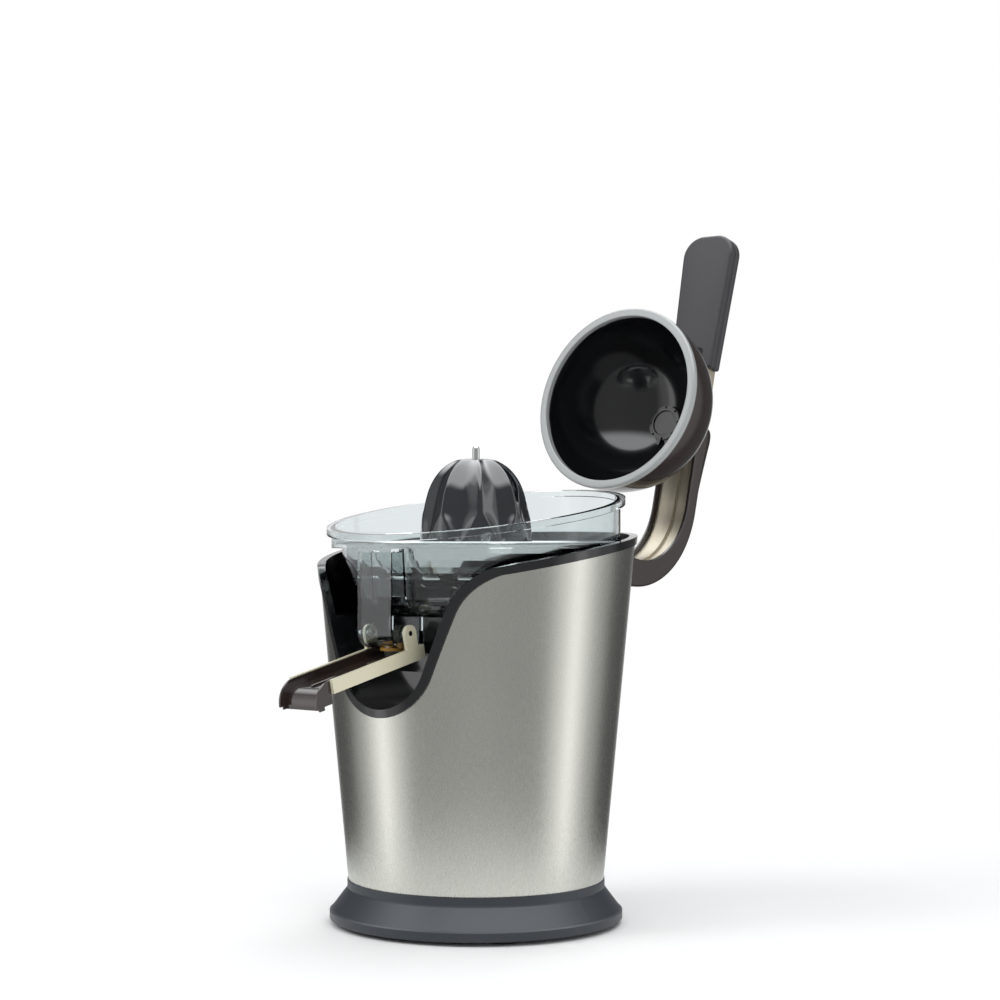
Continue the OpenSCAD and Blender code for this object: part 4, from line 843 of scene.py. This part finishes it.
def dome():
    """Outer shell, liner and the rim that joins them."""
    piece("dome_outer", [(bell(DOME_R, DOME_T, 0.6), True, True)], "dome_shell", 40)
    piece("dome_inner", [(bell(LINER_R, LINER_T, 0.3), True, True)], "dome_liner", 40)
    low, high = DOME_RIM_Z, DOME_RIM_Z + DOME_RING_H
    profile = rounded(
        [(LINER_R - LINER_T, low, 0.7), (DOME_R + 0.7, low, 1.5), (DOME_R + 0.7, high, 0.7),
         (DOME_R - 0.4, high, 0.2), (DOME_R - 0.4, high - 0.4, 0.1),
         (LINER_R - LINER_T, high - 0.4, 0.3)], 6,
    )
    piece("dome_rim_ring", [(opened(lathe(profile, ROUND_STEPS)), True, True)], "dome_rim", 40)


# ---- lever, drawn closed

ARM_W, COVER_T = 30.0, 2.2
ARM_TOP_Z, ARM_UNDER_Z = 331.0, 319.0
# the arm's back face lies behind the pin, and its front face in front of it
ARM_BACK, ARM_FRONT = 14.8, 4.6
BEND_OUT, BEND_IN = 67.5, 50.0
OUTER_C = (HINGE[1] + ARM_BACK - BEND_OUT, ARM_TOP_Z - BEND_OUT)
INNER_C = (HINGE[1] - ARM_FRONT - BEND_IN, ARM_UNDER_Z - BEND_IN)
COVER_END, COVER_FOOT = -5.0, HINGE[2] + 26
SHOULDER_H, SHOULDER_FROM, SHOULDER_L, SHOULDER_FALL = 5.0, 42.0, 38.0, 6.0
LEVEL_STATIONS = 40
COVER_ROUND, LIP_ROUND = 2.6, 0.6


def lever_cover():
    """The arm's brown cover: a U section that follows the bend. Near its end the web swells
    by SHOULDER_H, a smooth ramp over SHOULDER_L that falls back over SHOULDER_FALL."""
    head = bend_path(OUTER_C, BEND_OUT, COVER_END, COVER_FOOT, LEVEL_STATIONS)
    foot = bend_path(INNER_C, BEND_IN, COVER_END, COVER_FOOT, LEVEL_STATIONS)
    y = head[:, 0]
    ramp = np.clip((SHOULDER_FROM - y) / SHOULDER_L, 0, 1)
    fall = np.clip((y - COVER_END) / SHOULDER_FALL, 0, 1)
    on_level = np.arange(len(y)) < LEVEL_STATIONS
    swell = SHOULDER_H * ramp**1.2 * np.sqrt(1 - (1 - fall) ** 2) * on_level
    outline, deep = channel_outline(ARM_W / 2, COVER_T, COVER_ROUND, LIP_ROUND)
    grid = opened(swept(foot, head, outline, deep, swell))
    piece("lever_cover_channel", [(grid, False, True), *channel_caps(grid)], "lever_cover", 50)


GRIP_L, GRIP_W, GRIP_ROOT_W, GRIP_T, GRIP_TIP_R = 99.0, 42.5, 34.5, 12.0, 15.0
GRIP_ROOT_Y, GRIP_TOP_Z = -46.0, ARM_TOP_Z - 0.6
GRIP_ROOT_ROUND, FACE_EDGE, SEAM_EDGE = 2.0, 2.0, 0.35
SCREW_Y, SCREW_X, RECESS_R, RECESS_DEPTH = -12.0, 5.5, 3.4, 1.6
GRIP_POINT_GAP = 1.6


def grip_outline(steps=14):
    """The grip from above: a tapering slab with two large round corners at its tip."""
    half, root = GRIP_W / 2, GRIP_ROOT_W / 2
    return rounded(
        [(-root, 0, GRIP_ROOT_ROUND), (-half, -GRIP_L, GRIP_TIP_R),
         (half, -GRIP_L, GRIP_TIP_R), (root, 0, GRIP_ROOT_ROUND)], steps,
    )


def grip_half(name, node, outer, inner, sign):
    """Half of the grip between its parting plane and its face. Each row is the outline moved
    inwards round the face's edge; the underside has one oblong recess over the screws."""
    outline = densify(grip_outline(), GRIP_POINT_GAP)
    normal = inward(outline)
    edge, seam = FACE_EDGE, SEAM_EDGE
    a = np.linspace(0, math.pi / 2, 8)
    rows = [(seam, inner), (0.1, inner + sign * 0.1), (0.0, inner + sign * seam)]
    rows += [
        (edge * (1 - c), outer - sign * edge * (1 - s)) for c, s in zip(np.cos(a), np.sin(a))
    ]
    grid = [np.column_stack([outline + normal * d, np.full(len(outline), z)]) for d, z in rows]
    spine = np.clip(outline[:, 1], GRIP_TIP_R - GRIP_L, -SCREW_X)
    if sign < 0:
        # the recess: each outline point is drawn to one of two half circles or the run between
        ray = outline - (0, SCREW_Y)
        bearing = np.arctan2(ray[:, 1], ray[:, 0])
        pill = np.stack([
            np.sign(np.cos(bearing)) * SCREW_X * np.minimum(1, np.abs(np.cos(bearing)) * 1.6)
            + RECESS_R * np.cos(bearing), SCREW_Y + RECESS_R * np.sin(bearing)], -1)
        for z in (outer, outer + RECESS_DEPTH):
            grid.append(np.column_stack([pill, np.full(len(pill), z)]))
        floor = np.full(len(pill), outer + RECESS_DEPTH)
        end = np.column_stack([pill * (1, 0) + (0, SCREW_Y), floor])
    else:
        end = np.column_stack([0 * spine, spine, np.full(len(spine), outer)])
    start_row = np.column_stack([0 * spine, spine, np.full(len(spine), inner)])
    grid = np.stack([start_row, *grid, end]) + (0, GRIP_ROOT_Y, GRIP_TOP_Z)
    piece(name, [(opened(grid), False, True)], node, 35)


def densify(outline, step):
    """Adds evenly spaced points to a closed outline's long straight runs."""
    nxt = np.roll(outline, -1, 0)
    runs = np.maximum(1, (np.linalg.norm(nxt - outline, axis=1) / step).astype(int))
    return np.concatenate([
        a + (b - a) * np.linspace(0, 1, n, endpoint=False)[:, None]
        for a, b, n in zip(outline, nxt, runs)
    ])


def grips():
    """Upper and lower half of the grip, with the seam between them."""
    grip_half("grip_face", "grip_upper", 0.0, -GRIP_T / 2, 1)
    grip_half("grip_back", "grip_lower", -GRIP_T, -GRIP_T / 2, -1)


# ---- sieve

BEAD_R, BEAD_INSET, BEAD_LIFT, BEAD_HALF_H = 1.2, 0.9, 0.2, 1.0


def sieve_bead():
    """The sieve's rolled edge: an oval bead turned round the rim of the flange."""
    rim = corner("pulp_sieve", 1)
    ring = np.linspace(0, 2 * math.pi, 16, endpoint=False)
    r = rim[0] - BEAD_INSET + BEAD_R * np.cos(ring)
    z = rim[2] + BEAD_LIFT + BEAD_HALF_H * np.sin(ring)
    profile = np.stack([r, z], -1)
    piece("sieve_rolled_edge", [(lathe(profile, 220), True, True)], "pulp_sieve", 40, False)


# ---- soft edges of the solids that are kept

# share of the moulded edge's radius on the solids that are kept as they are
SOFT_EDGES = {
    "inner_shell": 1.0, "base_ring": 0.5, "hinge_bracket": 1.2, "spout_body": 0.6,
    "lever_frame": 0.8,
}
HARD_EDGE = math.radians(50)


def soften(node, width):
    """Rounds a solid's hard edges without touching its mesh."""
    made = node.modifiers.new("soft_edges", "BEVEL")
    made.width = width
    made.segments = 3
    made.limit_method = "ANGLE"
    made.angle_limit = HARD_EDGE
    made.harden_normals = True


# ---- stage

# metres from the juicer between which the floor fades away, to the eye and in mirrors
FLOOR_SEEN = (0.28, 0.85)
FLOOR_MIRRORED = (0.13, 0.34)
FLOOR_HALF = 4.0


def pale_floor():
    """Matt pale floor: it takes the shadow near the juicer and fades to plain white light
    away from it, so that no horizon shows. Mirrors see the studio in place of its far part."""
    made, tree, shader = start("pale_floor")
    shader.inputs["Base Color"].default_value = tuple(colours().floor)
    shader.inputs["Roughness"].default_value = 0.75
    place = add(tree, "ShaderNodeTexCoord").outputs["Object"]
    far = add(tree, "ShaderNodeVectorMath", {0: place}, operation="LENGTH").outputs["Value"]
    path = add(tree, "ShaderNodeLightPath")

    def fade(span):
        return add(
            tree, "ShaderNodeMapRange", {"Value": far, "From Min": span[0], "From Max": span[1]},
            interpolation_type="SMOOTHSTEP",
        ).outputs[0]

    white = add(tree, "ShaderNodeEmission", {"Color": (1, 1, 1, 1), "Strength": 1.0})
    open_air = add(tree, "ShaderNodeBsdfTransparent")
    seen = add(
        tree, "ShaderNodeMixShader",
        {0: fade(FLOOR_SEEN), 1: shader.outputs[0], 2: white.outputs[0]},
    )
    mirrored = add(
        tree, "ShaderNodeMixShader",
        {0: fade(FLOOR_MIRRORED), 1: shader.outputs[0], 2: open_air.outputs[0]},
    )
    both = add(
        tree, "ShaderNodeMixShader",
        {0: path.outputs["Is Glossy Ray"], 1: seen.outputs[0], 2: mirrored.outputs[0]},
    )
    output = next(n for n in tree.nodes if n.bl_idname == "ShaderNodeOutputMaterial")
    tree.links.new(both.outputs[0], output.inputs["Surface"])
    return made


# brightness of the studio by its bearing from the camera's side, 0 in front to 1 behind
PANELS = (
    (0.0, 0.42), (0.31, 0.36), (0.36, 0.85), (0.41, 0.95), (0.43, 1.7), (0.47, 1.7),
    (0.49, 0.95), (0.52, 0.95), (0.56, 0.5), (0.62, 0.42),
    (0.68, 0.10), (0.87, 0.08), (0.95, 0.8), (1.0, 0.9),
)
# the ceiling panel: the sines of its lower edge, where it fades in, and its brightness
CEILING_FROM, CEILING_TO = 0.6, 0.76
CEILING_LIGHT = (3.4, 3.45, 3.5, 1)
ROOM_TINT, ROOM_LIGHT = "#e8ecef", 0.6


def pale_world(scene):
    """A plain grey-white studio. The camera and clear pieces see it as white; gloss and
    metal see two tall bright panels at the sides, dark ones behind them and a ceiling."""
    world = bpy.data.worlds.new("studio")
    scene.world = world
    world.use_nodes = True
    tree = world.node_tree
    tree.nodes.clear()
    path = add(tree, "ShaderNodeLightPath")
    seen = add(
        tree, "ShaderNodeMath",
        {0: path.outputs["Is Camera Ray"], 1: path.outputs["Is Transmission Ray"]},
        operation="MAXIMUM",
    ).outputs[0]
    place = add(tree, "ShaderNodeTexCoord").outputs["Generated"]
    turned = add(
        tree, "ShaderNodeMapping", {"Vector": place, "Rotation": (0, 0, -VIEW_AZIMUTH)}
    ).outputs[0]
    axes = add(tree, "ShaderNodeSeparateXYZ", {"Vector": turned})
    ahead = add(
        tree, "ShaderNodeMath", {0: axes.outputs["Y"], 1: -1.0}, operation="MULTIPLY"
    ).outputs[0]
    side = add(
        tree, "ShaderNodeMath", {0: axes.outputs["X"]}, operation="ABSOLUTE"
    ).outputs[0]
    bearing = add(tree, "ShaderNodeMath", {0: side, 1: ahead}, operation="ARCTAN2").outputs[0]
    share = add(
        tree, "ShaderNodeMath", {0: bearing, 1: math.pi}, operation="DIVIDE"
    ).outputs[0]
    ramp = add(tree, "ShaderNodeValToRGB", {"Fac": share})
    stops = ramp.color_ramp.elements
    while len(stops) < len(PANELS):
        stops.new(0.5)
    for stop, (at, level) in zip(stops, PANELS):
        stop.position = at
        stop.color = (level, level, level * 1.01, 1)
    above = add(
        tree, "ShaderNodeMapRange",
        {"Value": axes.outputs["Z"], "From Min": CEILING_FROM, "From Max": CEILING_TO},
        interpolation_type="SMOOTHSTEP",
    ).outputs[0]
    ceiling = add(tree, "ShaderNodeMix", {"Factor": above}, data_type="RGBA")
    tree.links.new(ramp.outputs["Color"], ceiling.inputs["A"])
    ceiling.inputs["B"].default_value = CEILING_LIGHT
    gloss = add(
        tree, "ShaderNodeBackground", {"Color": ceiling.outputs["Result"], "Strength": 1.0}
    )
    plain = add(
        tree, "ShaderNodeBackground", {"Color": srgb(ROOM_TINT), "Strength": ROOM_LIGHT}
    )
    unseen = add(
        tree, "ShaderNodeMixShader",
        {0: path.outputs["Is Glossy Ray"], 1: plain.outputs[0], 2: gloss.outputs[0]},
    )
    white = add(tree, "ShaderNodeBackground", {"Color": (1, 1, 1, 1), "Strength": 1.0})
    both = add(tree, "ShaderNodeMixShader", {0: seen, 1: unseen.outputs[0], 2: white.outputs[0]})
    add(tree, "ShaderNodeOutputWorld", {"Surface": both.outputs[0]})


# name, place and size in metres, power in watts
LAMPS = (
    ("key", (-0.9, -1.5, 1.5), (0.9, 1.4), 18),
    ("fill", (1.6, -0.9, 1.0), (0.7, 1.6), 10),
    ("top", (0.1, 0.1, 2.2), (1.6, 1.6), 16),
    ("back", (-0.6, 1.8, 1.2), (1.0, 1.0), 8),
)
LAMPS_AIM = Vector((0, 0, 0.22))


def lamps(context):
    """Large soft boxes for the diffuse light and the shadow; the studio gives the gloss."""
    for name, at, size, power in LAMPS:
        data = bpy.data.lights.new(name, "AREA")
        data.shape = "RECTANGLE"
        data.size, data.size_y = size
        data.energy = power
        lamp = bpy.data.objects.new(name, data)
        lamp.location = at
        lamp.visible_glossy = False
        aim = LAMPS_AIM - Vector(at)
        lamp.rotation_euler = aim.to_track_quat("-Z", "Y").to_euler()
        context.collection.objects.link(lamp)


VIEW_AZIMUTH = math.radians(40)
VIEW_DISTANCE = 1.36
VIEW_HEIGHT = 0.240
VIEW_SHIFT = (0.024, 0.033)
SEEN_WIDTH_MM = 620.0
SENSOR_MM = 36.0


def camera(context):
    """Level camera on the right front; the shift frames the juicer without tilting."""
    data = bpy.data.cameras.new("camera")
    data.sensor_width = SENSOR_MM
    data.lens = SENSOR_MM * VIEW_DISTANCE / (SEEN_WIDTH_MM * MM)
    data.shift_x, data.shift_y = VIEW_SHIFT
    data.clip_start = 0.05
    eye = bpy.data.objects.new("camera", data)
    eye.location = (
        math.sin(VIEW_AZIMUTH) * VIEW_DISTANCE, -math.cos(VIEW_AZIMUTH) * VIEW_DISTANCE,
        VIEW_HEIGHT,
    )
    eye.rotation_euler = (math.pi / 2, 0, VIEW_AZIMUTH)
    context.collection.objects.link(eye)
    context.scene.camera = eye


# ---- operators


class JUICER_OT_stage(bpy.types.Operator):
    """Floor, lamps, world and camera"""

    bl_idname = "juicer.stage"
    bl_label = "Stage"

    def execute(self, context):
        mesh = bpy.data.meshes.new("floor")
        low, high = -FLOOR_HALF, FLOOR_HALF
        mesh.from_pydata(
            [(low, low, 0), (high, low, 0), (high, high, 0), (low, high, 0)], [],
            [(0, 1, 2, 3)],
        )
        floor = bpy.data.objects.new("floor", mesh)
        context.collection.objects.link(floor)
        mesh.materials.append(pale_floor())
        pale_world(context.scene)
        lamps(context)
        camera(context)
        return {"FINISHED"}


class JUICER_OT_finishes(bpy.types.Operator):
    """Gives every solid its finish"""

    bl_idname = "juicer.finishes"
    bl_label = "Finishes"

    def execute(self, context):
        for name, node in NODES.items():
            node.data.materials.clear()
            finish = black_oxide() if name == "grip_screws" else finish_of(SLOT_OF[name])
            node.data.materials.append(finish)
        for name, share in SOFT_EDGES.items():
            soften(NODES[name], sizes().edge * share)
        return {"FINISHED"}


class JUICER_OT_reamers(bpy.types.Operator):
    """Builds both fluted cones"""

    bl_idname = "juicer.reamers"
    bl_label = "Reamers"

    def execute(self, context):
        large_reamer()
        small_reamer()
        return {"FINISHED"}


class JUICER_OT_dome(bpy.types.Operator):
    """Builds the press dome"""

    bl_idname = "juicer.dome"
    bl_label = "Press dome"

    def execute(self, context):
        dome()
        return {"FINISHED"}


class JUICER_OT_lever(bpy.types.Operator):
    """Builds the lever's cover and grip"""

    bl_idname = "juicer.lever"
    bl_label = "Lever"

    def execute(self, context):
        lever_cover()
        grips()
        return {"FINISHED"}


class JUICER_OT_sieve(bpy.types.Operator):
    """Builds the sieve's rolled edge"""

    bl_idname = "juicer.sieve"
    bl_label = "Sieve"

    def execute(self, context):
        sieve_bead()
        return {"FINISHED"}


class JUICER_OT_body(bpy.types.Operator):
    """Builds the steel skin"""

    bl_idname = "juicer.body"
    bl_label = "Body"

    def execute(self, context):
        steel_skin()
        return {"FINISHED"}


# ---- panel and registration


class JUICER_PT_panel(bpy.types.Panel):
    """Lists the juicer's pieces in the 3D view's sidebar"""

    bl_idname = "JUICER_PT_panel"
    bl_label = "Citrus Press Juicer"
    bl_space_type = "VIEW_3D"
    bl_region_type = "UI"
    bl_category = "Juicer"

    def draw(self, context):
        layout = self.layout
        for group in (sizes(), colours()):
            for key in group.__annotations__:
                layout.prop(group, key)
        for operator in OPERATORS:
            layout.operator(operator.bl_idname)


OPERATORS = (
    JUICER_OT_stage, JUICER_OT_finishes, JUICER_OT_reamers, JUICER_OT_dome, JUICER_OT_lever,
    JUICER_OT_sieve, JUICER_OT_body,
)
CLASSES = (JuicerSizes, JuicerColours, *OPERATORS, JUICER_PT_panel)


def register():
    for kind in CLASSES:
        bpy.utils.register_class(kind)
    bpy.types.Scene.juicer_sizes = PointerProperty(type=JuicerSizes)
    bpy.types.Scene.juicer_colours = PointerProperty(type=JuicerColours)


def unregister():
    del bpy.types.Scene.juicer_sizes
    del bpy.types.Scene.juicer_colours
    for kind in reversed(CLASSES):
        bpy.utils.unregister_class(kind)


def main():
    register()
    bpy.context.scene.view_settings.view_transform = "Standard"
    bpy.ops.juicer.stage()
    bpy.ops.juicer.finishes()
    bpy.ops.juicer.reamers()
    bpy.ops.juicer.dome()
    bpy.ops.juicer.lever()
    bpy.ops.juicer.sieve()
    bpy.ops.juicer.body()


if __name__ == "__main__":
    main()
